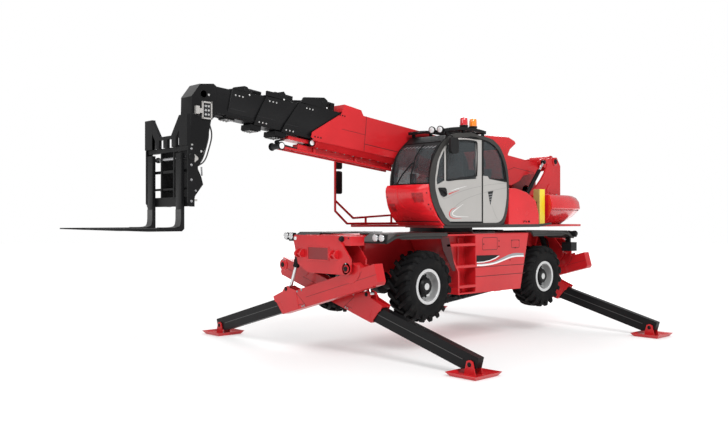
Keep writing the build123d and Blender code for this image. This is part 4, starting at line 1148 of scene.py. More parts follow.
# %% Cap and gauge of the tank
TANK_FACE = -1.219
turned("tank_cap", at(0.9, TANK_FACE, 1.78), (0, -1, 0),
       [(0, 0.055), (0.016, 0.055), (0.022, 0.046), (0.022, 0.018),
        (0.030, 0.014)], "chassis", PLASTIC)
turned("tank_gauge", at(0.62, TANK_FACE, 1.60), (0, -1, 0), [(0, 0.030), (0.010, 0.030), (0.013, 0.022)],
       "chassis", CHROME)
print("the tank is filled from the right, at y =", TANK_FACE)

# %% Steps
RECESS_EDGE = [(1.410, 1.868), (1.360, 1.925), (1.205, 1.900), (1.030, 1.320), (1.105, 1.322), (1.357, 1.684)]
#         height, front end
STEPS = ((1.774, 1.262), (1.394, 1.026), (1.044, 0.950))
# A dark patch inside the step recess's edge: painted shade.
plate("step_edge_patch", SIDE, RECESS_EDGE, 1.214, 1.2215, "chassis", SEAM_AND_SHADE)
teeth = [((x - 0.010, x + 0.010), (z + 0.012, z + 0.021), (1.130, 1.205))
         for z, front in STEPS for x in np.linspace(0.515, front - 0.03, 13)]
boxes("step_teeth", SIDE, teeth, "chassis", RED)
boxes("step_lips", SIDE, [((0.485, front), (z - 0.030, z + 0.0155), (1.209, 1.2215)) for z, front in STEPS],
      "chassis", RED, edge=0.003)
boxes("step_column", SIDE, [((0.56, 0.70), (0.96, 1.90), (0.955, 0.998))], "chassis", RED, edge=0.02)
boxes("step_latch", SIDE, [((0.98, 1.08), (1.635, 1.66), (0.96, 1.02))], "chassis", PLASTIC, edge=0.004)
print(len(STEPS), "steps with", len(teeth), "teeth")

# %% Mudguard edges
GUARD_OUT = 1.222
for wheel, end, hand in (("front_left", 1, 1), ("front_right", 1, -1), ("rear_left", -1, 1),
                         ("rear_right", -1, -1)):
    edge = smooth_path([(end * 1.26, 1.945), (end * 1.9, 1.948), (end * 2.30, 1.945), (end * 2.52, 1.925),
                        (end * 2.66, 1.860), (end * 2.735, 1.843)], 6)
    tube(f"mudguard_edge_{wheel}", SIDE(*edge.T, hand * GUARD_OUT), 0.022, "chassis", GRAPHITE, sides=12)
    tube(f"mudguard_lip_{wheel}", at(end * 2.738, hand * np.array([0.64, 1.205, GUARD_OUT]), 1.843), 0.017,
         "chassis", GRAPHITE)
    plate(f"mudguard_skirt_{wheel}", SIDE,
          [(end * 1.30, 1.945), (end * 2.30, 1.945), (end * 2.50, 1.925), (end * 2.34, 1.885),
           (end * 1.32, 1.885)], *span(hand, 1.195, 1.215), "chassis", GRAPHITE)
    bolts(f"mudguard_bolts_{wheel}",
          [at(end * x, hand * y, 1.978) for x in (1.35, 1.8, 2.25) for y in (0.45, 0.72)], UP, 0.022,
          "chassis")
    print("the", wheel, "mudguard's edge has", len(edge), "points")

# %% [markdown]
# ## The plates that carry the outriggers
# At each end two thick plates hold the outriggers' pivots. The outer one has a round cover on every
# pin, a sunk grille, two towing eyes and, on the crossbeam above, a plug for the trailer's cable.

# %% Outrigger housings
FACE_X, BEAM_FACE = 3.200, 3.171
#            name, finish, profile
PIVOT_PARTS = (("pivot_cap", RED, [(-0.004, 0.062), (0.006, 0.062), (0.010, 0.056)]),
               ("pivot_pin", BLACK,
                [(0.0, 0.042), (0.020, 0.042), (0.026, 0.036), (0.026, 0.012), (0.022, 0.010)]))
TOW_PIN = [(0, 0.030), (0.008, 0.030), (0.008, 0.0185), (0.176, 0.0185), (0.176, 0.026), (0.184, 0.026)]
CABLE_PLUG = [(-0.004, 0.048), (0.010, 0.048), (0.012, 0.036), (0.045, 0.036), (0.052, 0.030)]
for end_name, end in (("front", 1), ("rear", -1)):
    out = end * AHEAD
    for hand in (1, -1):
        for name, finish, profile in PIVOT_PARTS:
            turned(f"{name}_{end_name}_{hand}", at(end * FACE_X, hand * PIN_OUT, PIN_UP), out, profile,
                   "chassis", finish)
        bolts(f"pivot_lock_{end_name}_{hand}", at(end * FACE_X, hand * (PIN_OUT - 0.010), PIN_UP + 0.083),
              out, 0.018, "chassis")
    turned(f"plate_cap_{end_name}", at(end * FACE_X, -0.465, 1.893), out,
           [(-0.002, 0.030), (0.014, 0.030), (0.018, 0.024)], "chassis", WHITE)
    ribs = [((-0.122, 0.366), (z - 0.006, z + 0.006), span(end, 3.170, 3.183)) for z in np.linspace(1.572,
                                                                                                    1.738, 8)]
    ribs += [((y - 0.006, y + 0.006), (1.557, 1.753), span(end, 3.170, 3.187)) for y in np.linspace(-0.10,
                                                                                                    0.344, 9)]
    boxes(f"grille_{end_name}", FRONT, ribs, "chassis", RED)
    for number, y in enumerate(TOW_EYES):
        turned(f"tow_pin_{end_name}_{number}", at(end * 3.252, y - 0.092, 1.644), LEFT, TOW_PIN, "chassis",
               RED)
    turned(f"cable_plug_{end_name}", at(end * BEAM_FACE, 0.680, 1.904), out, CABLE_PLUG, "chassis", PLASTIC)
    dots(f"beam_studs_{end_name}",
         [at(end * BEAM_FACE, y, z) for y, z in ((0.42, 1.915), (0.42, 1.865), (0.83, 1.915))], out, 0.012,
         0.008, "chassis", PLASTIC)
    print(end_name, "grille of", len(ribs), "ribs")

# %% Hoses from the beams down to the outriggers
for end_name, end in (("front", 1), ("rear", -1)):
    for hand in (1, -1):
        for number, (y, drop) in enumerate(((0.42, 0.0), (0.47, 0.03), (0.52, 0.06))):
            path = smooth_path(at(end * np.array([2.84, 2.84, 2.83, 2.80, 2.77]),
                                  hand * np.array([0.30, y, y + 0.05, y + 0.08, y]),
                                  [1.90, 1.86 - drop, 1.74 - drop, 1.62 - drop, 1.55]), 6)
            tube(f"housing_hose_{end_name}_{hand}_{number}", path, 0.011, "chassis", HOSE, sides=8)
print("each hose follows", len(path), "points")

# %% [markdown]
# ## Turret covers
# The nose under the windscreen is a moulding that curves both ways, so the louvres on it are laid on
# the moulding's own surface. How far forward that surface stands is read from a table of heights, and
# from how far round the corner the place is. The hoods behind are flatter, with plain rows of slats.

# %% Places on the nose
def on_nose(y, z, lift):
    """A place on the nose: corner + share(y) * (middle - corner) forward, lifted off by a little."""
    y, z, lift = np.broadcast_arrays(y, z, lift)
    middle, corner = (np.interp(z, NOSE[:, 0], column) for column in NOSE.T[2:])
    return at(corner + np.interp(y, *BAYS.T) * (middle - corner) + lift, y, z)


def draped(path, wide, low, high, steps=14):
    """A flat band on the nose along (y, z) points."""
    path = np.asarray(path, float)
    along = np.linspace(0, len(path) - 1, steps)
    y, z = (np.interp(along, np.arange(len(path)), column) for column in path.T)
    run = np.stack([np.gradient(y), np.gradient(z)])
    off = np.stack([-run[1], run[0]]) / np.hypot(*run) * wide / 2
    return np.stack([on_nose(y + off[0], z + off[1], low), on_nose(y + off[0], z + off[1], high),
                     on_nose(y - off[0], z - off[1], high), on_nose(y - off[0], z - off[1], low)], axis=1)


print("the nose's middle at the height of 2.5 m is", np.round(on_nose(0.62, 2.5, 0.0), 3))

# %% Louvres, folds and studs of the nose
#            first and last y at the top, first and last y at the bottom, top and bottom height, slats
LOUVRES = ((0.895, 1.105, 0.935, 1.100, 2.672, 2.506, 8), (0.350, 0.490, 0.380, 0.500, 2.498, 2.358, 6))
slats, wells = [], []
for top_a, top_b, low_a, low_b, top, low, count in LOUVRES:
    for k in range(count):
        share, z = (k + 0.5) / count, top + (low - top) * (k + 0.5) / count
        ends = (top_a + share * (low_a - top_a), top_b + share * (low_b - top_b))
        pitch = (top - low) / count
        slats.append(draped([(ends[0], z), (ends[1], z)], 0.45 * pitch, -0.004, 0.009, 8))
        wells.append(draped([(ends[0], z - 0.42 * pitch), (ends[1], z - 0.42 * pitch)], 0.5 * pitch, -0.004,
                            0.0015, 8))
solid("nose_slats", slats, "turret", RED_COVER)
# The dark bands in the gaps between the slats are painted shade.
solid("nose_slat_gaps", wells, "turret", SEAM_AND_SHADE)
fold = smooth_path([(0.575, 2.74), (0.577, 2.584), (0.634, 2.440), (0.768, 2.355), (0.987, 2.300),
                    (1.165, 2.285)], 6)
solid("nose_fold", [draped(fold, 0.016, -0.006, 0.007, 40)], "turret", RED_COVER)
# The dark band along the nose's lowest step is painted shade.
solid("nose_step",
      [draped([(0.300, 2.178), (0.70, 2.178), (1.00, 2.176), (1.185, 2.17)], 0.014, -0.006, 0.005, 24)],
      "turret", SEAM_AND_SHADE)
for y, z in ((1.160, 2.655), (1.155, 2.462), (1.165, 2.390), (0.330, 2.60)):
    dots(f"nose_stud_{round(z * 1000)}", [on_nose(y, z, 0.0)], AHEAD, 0.011, 0.007, "turret", PLASTIC)
print(len(slats), "slats on the nose")

# %% Skirt under the cab and the hood
plate("turret_skirt", SIDE,
      [(1.335, 2.122), (1.285, 2.064), (-1.55, 2.064), (-1.99, 2.118), (-1.99, 2.150), (-1.53, 2.122)], 1.172,
      1.190, "turret", GRAPHITE, 0.005)
plate("turret_skirt_right", SIDE, [(1.290, 2.122), (1.260, 2.064), (-1.60, 2.064), (-1.60, 2.122)], -1.176,
      -1.162, "turret", GRAPHITE, 0.005)
tube("hood_hook", smooth_path(at([-1.02, -1.03, -1.06, -1.11, -1.13], [1.188, 1.202, 1.206, 1.202, 1.188],
                                 [2.150, 2.178, 2.186, 2.176, 2.150]), 6), 0.006, "turret", PLASTIC, 8)
turned("hood_plug", at(-1.20, 1.188, 2.172), LEFT,
       [(0, 0.020), (0.010, 0.020), (0.010, 0.012), (0.022, 0.012)], "turret", PLASTIC, 16)

# %% Hood on the right, with the engine's air grilles
ENGINE_FACE = -1.150
#               rear and front end, bottom, top, slats
AIR_GRILLES = ((-2.55, -1.75, 2.72, 3.20, 12), (-1.45, -0.75, 2.30, 2.62, 8))
for number, (first, last, low, top, count) in enumerate(AIR_GRILLES):
    # Each air grille's well is a dark plate behind the slats: painted shade.
    plate(f"grille_well_{number}", SIDE, round_off(rectangle(first, last, low, top), 0.04),
          ENGINE_FACE - 0.002, ENGINE_FACE + 0.004, "turret", DARK_PRINT_AND_SHADE)
    rows = [((first + 0.015, last - 0.015), (z - 0.010, z + 0.010),
             (ENGINE_FACE - 0.012, ENGINE_FACE + 0.003))
            for z in np.linspace(low + 0.03, top - 0.03, count)]
    boxes(f"grille_slats_{number}", SIDE, rows, "turret", RED_COVER)
for name, line in (("hood_split", [(-0.40, 2.20), (-3.29, 2.20)]),
                   ("door_front", [(-1.60, 2.20), (-1.60, 3.86)]),
                   ("door_rear", [(-2.66, 2.20), (-2.66, 3.62)])):
    seam(f"engine_{name}", SIDE, line, ENGINE_FACE, "turret")
dots("engine_latches", [at(x, ENGINE_FACE, z) for x in (-1.66, -2.58) for z in (2.32, 3.35)], -LEFT, 0.026,
     0.008, "turret", PLASTIC)
boxes("scoop_mesh", SIDE, [((-2.72 - 0.018 * k, -2.70 - 0.018 * k), (3.775 + 0.017 * k, 3.94), (-1.10, -0.41))
                           for k in range(1, 10)], "turret", DARK_PRINT_AND_SHADE)
turned("scoop_knob", at(-2.935, -0.43, 3.935), (-1, 0, 0.3), [(0, 0.030), (0.030, 0.030), (0.036, 0.022)],
       "turret", PLASTIC, 20)
turned("exhaust", at(-1.10, -0.78, 3.62), UP, [(0, 0.060), (0.16, 0.060), (0.16, 0.050), (0.02, 0.050)],
       "turret", DARK_STEEL, 28)
print("the engine's hood has", sum(row[-1] for row in AIR_GRILLES), "slats")

# %% [markdown]
# ## Cheeks and counterweight
# Two thick cheeks hold the boom's foot. The pins that pass through them end in round covers with a
# keeper plate. Behind the hood stands a yellow channel that guards the hoses at the boom's foot.

# %% Foot pin and the holes in the cheeks
CHEEK_FACE, FOOT_X, FOOT_UP, HOLE_X, HOLE_UP = 0.350, -3.420, 3.485, -3.263, 2.843
#              name, forward, up, out from the cheek's face, profile, finish, sides
CHEEK_PARTS = (("foot_pin_ring", FOOT_X, FOOT_UP, -0.002, [(0, 0.088), (0.012, 0.088), (0.016, 0.082)], RED,
                32),
               ("foot_pin", FOOT_X, FOOT_UP, 0.010,
                [(0, 0.058), (0.014, 0.058), (0.020, 0.050), (0.020, 0.014), (0.014, 0.012)], BLACK, 32),
               ("cheek_hole_rim", HOLE_X, HOLE_UP, -0.004,
                [(0, 0.140), (0, 0.152), (0.010, 0.152), (0.010, 0.140)], RED, 48),
               ("cheek_hole_shade", HOLE_X, HOLE_UP, -0.004, [(0, 0.141), (0.006, 0.141)], DARK_PRINT_AND_SHADE, 48))
KEEPER_RADIUS, KEEPER_ANGLES = 0.070, (0.6, 2.2, 4.2)
for hand in (1, -1):
    for name, x, z, lift, profile, finish, sides in CHEEK_PARTS:
        turned(f"{name}_{hand}", at(x, hand * (CHEEK_FACE + lift), z), hand * LEFT, profile, "turret", finish,
               sides)
    keeper = [at(FOOT_X + KEEPER_RADIUS * math.cos(a), hand * CHEEK_FACE,
                 FOOT_UP + KEEPER_RADIUS * math.sin(a))
              for a in KEEPER_ANGLES]
    bolts(f"foot_pin_bolts_{hand}", keeper, hand * LEFT, 0.016, "turret")
print("the foot pin's ring is held by", len(keeper), "bolts on each cheek")

# %% [markdown]
# A strut stands on the left cheek, between an ear at the cheek's crest and a pin lower down. It is made
# of turned parts along one line, so its two ends are all that has to be known. It does not move.

# %% Strut
plate("strut_ear", SIDE,
      round_off([(-3.10, 3.55), (-2.905, 3.520), (-2.850, 3.470), (-2.862, 3.400), (-2.925, 3.372),
                 (-3.08, 3.330)], 0.03), 0.302, 0.346, "turret", RED, 0.004)
STRUT_TOP, STRUT_FOOT = at(-2.916, 0.392, 3.449), at(-2.280, 0.392, 2.735)
strut = (STRUT_TOP - STRUT_FOOT) / math.dist(STRUT_TOP, STRUT_FOOT)
solid("strut_barrel",
      [turned_grid(STRUT_FOOT, strut, [(0, 0.036), (0.04, 0.044), (0.70, 0.044), (0.71, 0.036)], 28),
       turned_grid(STRUT_FOOT - 0.042 * LEFT, LEFT, [(0, 0.046), (0.080, 0.046)], 28)], "turret", BLACK)
solid("strut_rod", [turned_grid(STRUT_FOOT, strut, [(0.70, 0.021), (0.93, 0.021)], 20)], "turret", CHROME)
solid("strut_eye", [turned_grid(STRUT_TOP - 0.040 * LEFT, LEFT, [(0, 0.044), (0.072, 0.044)], 28)], "turret",
      BLACK)
for place in (STRUT_TOP, STRUT_FOOT):
    turned(f"strut_pin_{round(1000 * place[2])}", place - 0.055 * LEFT, LEFT,
           [(0, 0.024), (0.100, 0.024), (0.106, 0.018)], "turret", DARK_STEEL, 24)
print("the strut is", round(math.dist(STRUT_TOP, STRUT_FOOT), 2), "m long between its pins")

# %% Mirrors of the guard, and the tail
for number, (low, high) in enumerate(((3.155, 3.340), (2.690, 3.120))):
    plate(f"guard_mirror_{number}", SIDE, round_off(rectangle(1.632, 1.783, low, high), 0.04), -1.090, -1.030,
          "turret", PLASTIC, 0.010)
# The slot in the channel's front is a dark plate: painted shade in the slot.
plate("channel_slot", FRONT, round_off([(0.915, 2.46), (0.915, 2.57), (0.945, 2.57), (0.945, 2.46)], 0.014),
      -1.838, -1.832, "turret", DARK_PRINT_AND_SHADE)
boxes("tail_bumpers", FRONT, [(span(hand, 0.36, 0.60), (2.455, 2.500), (-3.735, -3.700)) for hand in (1, -1)],
      "turret", RED_COVER, edge=0.01)
seam("weight_joint_left", TOP, [(-2.12, 1.115), (-2.88, 1.125), (-3.43, 0.935), (-3.60, 0.60)], 2.400,
     "turret")
bolts("weight_bolts", [at(x, hand * y, 2.716) for x, y in ((-2.40, 0.62), (-3.05, 0.62)) for hand in (1, -1)],
      UP, 0.05, "turret")
for number, (x, y) in enumerate(((-2.65, 0.70), (-3.20, 0.45))):
    tube(f"lifting_eye_{number}", smooth_path(at(x + np.array([-0.05, -0.05, 0, 0.05, 0.05]), y,
                                                 [2.700, 2.760, 2.795, 2.760, 2.700]), 6), 0.012, "turret",
         RED, 10)
print(number + 1, "lifting eyes on the counterweight")

# %% Hoses over the turret
for number, (y, top) in enumerate(((-0.20, 2.36), (-0.13, 2.40), (0.12, 2.37), (0.19, 2.41))):
    path = smooth_path(at([-0.66, -1.10, -1.70, -2.40, -2.95], y + np.array([0.0, 0.03, -0.02, 0.02, 0.0]),
                          [2.150, top - 0.10, top - 0.04, top - 0.12, 2.150]), 8)
    tube(f"turret_hose_{number}", path, 0.016, "turret", HOSE, 10)
print(number + 1, "hoses lie over the turret")

# %% [markdown]
# ## Boom
# The four sections slide out of the base, driven by chains. Everything here is told along the boom:
# how far out from the foot pin, and how far up from the line through it. Each section has two rows of
# adjusting screws for its wear pads, a pulley between its two crests, and the chain that runs over it.

# %% Sections
#           body, half width, screw rows (first, gap, height), crease height and ends
SECTIONS = (("boom", 0.245, ((6.632, 0.062, -0.652), (6.155, 0.052, -0.200)), (-0.424, 5.65, 6.20)),
            ("boom_2", 0.220, ((6.827, 0.063, -0.226), (7.157, 0.069, -0.640)), (-0.555, 7.09, 7.335)),
            ("boom_3", 0.195, ((7.533, 0.065, -0.260), (7.670, 0.066, -0.610)), (-0.532, 7.53, 7.860)),
            ("boom_4", 0.170, ((8.139, 0.064, -0.297), (8.169, 0.061, -0.590)), (-0.510, 8.06, 8.350)))
TUBE_LOW = {body: low for body, _, _, low, *_ in TUBES}
SCREW = steel("screw_heads", "dark_steel", (0.62, 0.62, 0.61), 0.3, metal=0.6)
# A lighter grey on edges, folds and top faces of black parts: painted highlight where they catch the light.
EDGE_HIGHLIGHT_GREY = paint("worn_edge", "black_paint", (0.055, 0.054, 0.054), (0.04, 0.04, 0.04), rough=0.4, coat=0.1)
for body, half, rows, (crease, first, last) in SECTIONS:
    screw, shade = (BLACK, SEAM_AND_SHADE) if body == "boom" else (SCREW, DARK_PRINT_AND_SHADE)
    for hand in (1, -1):
        heads = []
        for start, gap, height in rows:
            into_fold = max(0.0, TUBE_LOW.get(body, -1) + FOLD_RISE - height) * FOLD_IN / FOLD_RISE
            heads += [on_boom(start + k * gap, height, hand * (half - into_fold)) for k in range(3)]
        dots(f"{body}_screws_{hand}", heads, hand * LEFT, 0.0125, 0.008, body, screw, 14)
        seam(f"{body}_crease_{hand}", BOOM, [(first, crease), (last, crease)], hand * half, body, wide=0.006,
             finish=shade)
    print(body, "has", len(heads), "screws on each side")

# %% Joint lines of the base
#             name, width, line as (out, up) pairs
BASE_LINES = (("plate_edge", 0.010, [(5.66, -0.105), (5.66, -0.700)]),
              ("low_fold", 0.010, [(1.9, -0.582), (5.66, -0.582)]),
              ("foot_weld", 0.008, [(0.62, -0.330), (1.35, -0.330), (1.80, -0.520), (2.4, -0.520)]))
HALF_WIDTH = {body: half for body, half, _, _ in SECTIONS}
# The plate edge and the weld are dark joints; the low fold's line is painted shade along the fold.
for name, wide, line in BASE_LINES:
    for hand in (1, -1):
        seam(f"boom_{name}_{hand}", BOOM, line, hand * HALF_WIDTH["boom"], "boom", wide=wide)
print(len(BASE_LINES), "joint lines on each side of the base")

# %% Chains, pulleys and anchors
#          body, pulley place (out, up), radius, where its chain starts and ends, chain height
PULLEYS = (("boom_2", (6.610, -0.068), 0.052, 6.32, 6.60, 0.000),
           ("boom_3", (7.470, -0.110), 0.048, 7.20, 7.44, -0.072),
           ("boom_4", (8.100, -0.172), 0.042, 7.81, 8.07, -0.135))


CHAIN_SIDES, PITCH = (-0.055, 0.055), 0.040


def chain_grids(first, last, height, y):
    """Flat links side by side with a round pin through every joint."""
    grids = []
    for k, out in enumerate(np.arange(first, last, PITCH)):
        offset = 0.006 * (k % 2)
        grids.append(box_grid(BOOM, (out - 0.026, out + 0.026), (height - 0.014, height + 0.014),
                              (y - 0.018 + offset, y + 0.012 + offset)))
        grids.append(turned_grid(on_boom(out + PITCH / 2, height, y - 0.024), LEFT,
                                 [(0, 0.007), (0.048, 0.007)], 8))
    return grids


for body, (out, up), radius, first, last, height in PULLEYS:
    reach = HALF_WIDTH[body] - 0.002
    groove = [(-0.017, radius), (-0.010, radius + 0.006), (-0.006, radius - 0.006), (0.006, radius - 0.006),
              (0.010, radius + 0.006), (0.017, radius)]
    solid(f"{body}_pulleys", [turned_grid(on_boom(out, up, y), LEFT, groove, 28) for y in CHAIN_SIDES], body,
          DARK_STEEL)
    links = [grid for y in CHAIN_SIDES for grid in chain_grids(first, last, height, y)]
    solid(f"{body}_chains", links, body, DARK_STEEL)
    boxes(f"{body}_chain_anchors", BOOM,
          [((first - 0.06, first + 0.02), (TUBE_TOP[body] - 0.006, height + 0.012),
            (y - 0.026, y + 0.026)) for y in CHAIN_SIDES], body, BLACK, edge=0.004)
    for hand in (1, -1):
        turned(f"{body}_pulley_pin_{hand}", on_boom(out, up, hand * reach), hand * LEFT,
               [(0, 0.034), (0.007, 0.034), (0.011, 0.028), (0.011, 0.010)], body, BLACK, 24)
        turned(f"{body}_crest_stud_{hand}", on_boom(out - 0.075, up - 0.070, hand * reach), hand * LEFT,
               [(0, 0.015), (0.009, 0.015), (0.013, 0.010)], body, SCREW, 16)
    print(body, "chains have", len(links) // 4, "links each")

# %% Trays, hose rail and rollers under the boom
#            body, start, end, top, underside, half width
TRAY_LIPS = (("boom_2", 7.30, 7.47, -0.762, -0.776, 0.13), ("boom_3", 7.76, 7.92, -0.740, -0.752, 0.11),
             ("boom_4", 8.20, 8.36, -0.640, -0.664, 0.10))
for body, first, last, top, low, half in TRAY_LIPS:
    boxes(f"{body}_tray_lip", BOOM, [((first, last), (low, top), (-half, half))], body, BLACK, edge=0.004)
    bolts(f"{body}_tray_bolts",
          [on_boom(x, low, y) for x in np.linspace(first + 0.03, last - 0.03, 3) for y in (-0.08, 0.08)],
          -BOOM_UP, 0.018, body, SCREW)
for hand in (1, -1):
    for number, (out, up, half, _, radius) in enumerate(ROLLERS):
        turned(f"roller_ring_{number}_{hand}", on_boom(out, up, hand * (half - 0.002)), hand * LEFT,
               [(0, radius + 0.018), (0.012, radius + 0.018), (0.016, radius + 0.012),
                (0.016, radius - 0.008)],
               "boom", BLACK, 36)
        turned(f"roller_cap_{number}_{hand}", on_boom(out, up, hand * (half + 0.008)), hand * LEFT,
               [(0, radius), (0.010, radius), (0.015, radius - 0.010), (0.015, 0.006)], "boom", WHITE)
    tube(f"hose_rail_{hand}", on_boom([4.78, 7.28], -0.902, hand * 0.090), 0.020, "boom", RED, 14)
for number, y in enumerate((-0.055, -0.030, -0.005, 0.020, 0.045)):
    path = smooth_path(on_boom([4.70, 5.2, 6.2, 6.9, 7.24, 7.32, 7.31, 7.22],
                               [-0.82, -0.868, -0.872, -0.868, -0.850, -0.835, -0.790, -0.778], y), 6)
    tube(f"boom_hose_{number}", path, 0.010, "boom", HOSE, 8)
bolts("keel_bolts", [on_boom(s, -0.804, y) for s in np.linspace(5.0, 6.6, 9) for y in (-0.13, 0.13)],
      -BOOM_UP, 0.020, "boom")
print(number + 1, "hoses lie between the rails")

# %% [markdown]
# ## Boom head
# The last section bends down to the carriage. A valve block with its cover is bolted to the left side,
# and the tilt pin ends in a bright cover that a keeper holds at two points.

# %% Head plates and the valve block
HEAD_FACE, VALVE_DEPTH = 0.150, (0.148, 0.176)
# The head's top plate is painted a lighter grey: painted highlight on its lit top face.
plate("head_top_plate", SIDE, [(5.416, 4.152), (5.421, 4.160), (5.563, 3.969), (5.557, 3.963)], -0.144, 0.144,
      "boom_5", EDGE_HIGHLIGHT_GREY, 0.002)
plate("head_sheet", BOOM, [(8.346, -0.228), (8.585, -0.236), (8.572, -0.348), (8.339, -0.302)], 0.140, 0.1475,
      "boom_5", BLACK, 0.002)
boxes("valve_frame", SIDE, [((5.236, 5.400), z, VALVE_DEPTH) for z in ((3.655, 3.678), (3.885, 3.908))] +
      [(x, (3.655, 3.908), VALVE_DEPTH) for x in ((5.236, 5.258), (5.380, 5.402))], "boom_5", SILVER,
      edge=0.003)
boxes("valve_body", SIDE, [((5.27, 5.37), (3.69, 3.87), (0.148, 0.168))], "boom_5", DARK_STEEL, edge=0.004)
solid("valve_ports",
      [turned_grid(at(x, 0.165, z), LEFT, [(0, 0.016), (0.014, 0.016), (0.014, 0.009), (0.022, 0.009)], 12)
       for x in (5.297, 5.345) for z in (3.72, 3.78, 3.84)], "boom_5", SCREW)
boxes("valve_coil", SIDE, [((5.402, 5.480), (3.735, 3.80), (0.148, 0.190)),
                           ((5.455, 5.515), (3.715, 3.83), (0.148, 0.200))], "boom_5", SILVER, edge=0.004)
print("the valve block stands", round(VALVE_DEPTH[1] - HEAD_FACE, 3), "m proud of the head")

# %% Studs, tilt pin covers and hoses of the head
dots("head_studs", [at(x, HEAD_FACE, z) for x, z in ((5.282, 4.010), (5.558, 3.269), (5.409, 3.187))], LEFT,
     0.017, 0.012, "boom_5", SCREW)
turned("head_recess_ring", at(5.365, HEAD_FACE - 0.002, 4.015), LEFT,
       [(0, 0.060), (0.006, 0.060), (0.008, 0.054), (0.002, 0.050)], "boom_5", BLACK, 32)
TILT_X, TILT_UP = 5.575, 3.077
cosine, sine = circle(36)
radius = 0.064 + 0.022 * np.maximum(0, np.abs(cosine) - 0.86) / 0.14
cover = np.stack([TILT_X + radius * cosine, TILT_UP + radius * sine], axis=1)
for hand in (1, -1):
    plate(f"tilt_pin_cover_{hand}", SIDE, cover, *span(hand, 0.188, 0.214), "carriage", SILVER, 0.003)
    seam(f"head_weld_{hand}", SIDE, [(5.24, 3.655), (5.545, 3.72)], hand * HEAD_FACE, "boom_5", finish=DARK_PRINT_AND_SHADE)
for number, (y, bow) in enumerate(((-0.10, 0.05), (-0.04, 0.02), (0.03, 0.035), (0.09, 0.055))):
    path = smooth_path(at(np.array([5.240, 5.235, 5.29, 5.36, 5.43]) - np.array([0, bow, bow, bow, 0]), y,
                          [3.62, 3.45, 3.25, 3.05, 2.98]), 6)
    tube(f"head_hose_{number}", path, 0.011, "boom_5", HOSE, 8)
for number, y in enumerate((-0.07, 0.0, 0.07)):
    tube(f"head_line_{number}",
         smooth_path(on_boom([8.40, 8.55, 8.64, 8.70], [-0.630, -0.636, -0.66, -0.72], y), 6), 0.012,
         "boom_5", HOSE, 8)
print("the tilt pin's covers are", round(2 * radius.max(), 3), "m across")

# %% [markdown]
# ## Carriage and forks
# The carriage hangs on the tilt pin. The forks hang on a bright shaft that runs through its outer
# plates, with stop rings beside each fork. The tilt cylinder stands behind the frame.

# %% Fork shaft and side plates
SHAFT_X, SHAFT_UP, PLATE_OUT = 5.826, 3.060, 0.595
rings = [turned_grid(at(SHAFT_X, y, SHAFT_UP), LEFT, [(0, 0.040), (0.030, 0.040)], 24)
         for y in (-0.52, -0.335, 0.305, 0.49)]
solid("shaft_stops", rings, "carriage", DARK_STEEL, edge=0.003)
turned("fork_shaft", at(SHAFT_X, -PLATE_OUT, SHAFT_UP), LEFT, [(0, 0.0245), (2 * PLATE_OUT, 0.0245)],
       "carriage", BOLT_STEEL, 24)
for hand in (1, -1):
    turned(f"shaft_end_{hand}", at(SHAFT_X, hand * 0.592, SHAFT_UP), hand * LEFT,
           [(0, 0.048), (0.010, 0.048), (0.013, 0.042), (0.013, 0.012)], "carriage", BLACK, 28)
    bolts(f"plate_bolts_{hand}", [at(5.83, hand * PLATE_OUT, z) for z in (2.46, 2.75, 2.95, 3.17)],
          hand * LEFT, 0.022, "carriage")
    plate(f"post_gusset_{hand}", FRONT,
          [(hand * y, z) for y, z in ((0.40, 3.215), (0.375, 3.215), (0.375, 3.420),
                                      (0.40, 3.300))], 5.835, 5.893, "carriage", BLACK)
    turned(f"hitch_bush_{hand}", at(TILT_X, hand * 0.190, TILT_UP), hand * LEFT,
           [(-0.002, 0.082), (0.006, 0.082), (0.010, 0.074)], "carriage", BLACK, 36)
boxes("frame_cross", FRONT, [((-0.565, 0.565), z, (5.812, 5.850)) for z in ((2.86, 2.90), (2.62, 2.65))],
      "carriage", BLACK, edge=0.004)
print("the fork shaft is", 2 * PLATE_OUT, "m long")

# %% Tilt cylinder, link, lever and bolts
TUBE_X, TUBE_UP = 5.700, 2.635
turned("tilt_tube", at(TUBE_X, -0.436, TUBE_UP), LEFT,
       [(0, 0.030), (0.006, 0.037), (0.366, 0.037), (0.372, 0.030)], "carriage", BLACK, 28)
turned("tilt_stem", at(TUBE_X, -0.150, TUBE_UP), LEFT, [(0, 0.018), (0.30, 0.018)], "carriage", CHROME, 20)
tube("tilt_hose", smooth_path(at([5.72, 5.76, 5.74, 5.66, 5.60], [-0.38, -0.34, -0.22, -0.15, -0.10],
                                 [2.68, 2.80, 2.95, 3.00, 2.95]), 8), 0.010, "carriage", HOSE, 8)
tube("hitch_link", at([5.430, 5.422], 0.196, [2.962, 2.835]), 0.012, "carriage", BOLT_STEEL, 12)
boxes("lock_lever", SIDE,
      [((5.56, 5.62), (2.44, 2.54), (0.190, 0.205)), ((5.50, 5.56), (2.47, 2.50), (0.190, 0.203))],
      "carriage", SILVER, edge=0.003)
for name, hand in (("hitch_bolts", 1), ("hitch_bolts_right", -1)):
    bolts(name, [at(x, hand * 0.190, z) for x, z in ((5.52, 2.62), (5.60, 2.80), (5.78, 2.48), (5.78, 3.12))],
          hand * LEFT, 0.020, "carriage")
print("the tilt cylinder lies", TUBE_UP, "m above the floor")

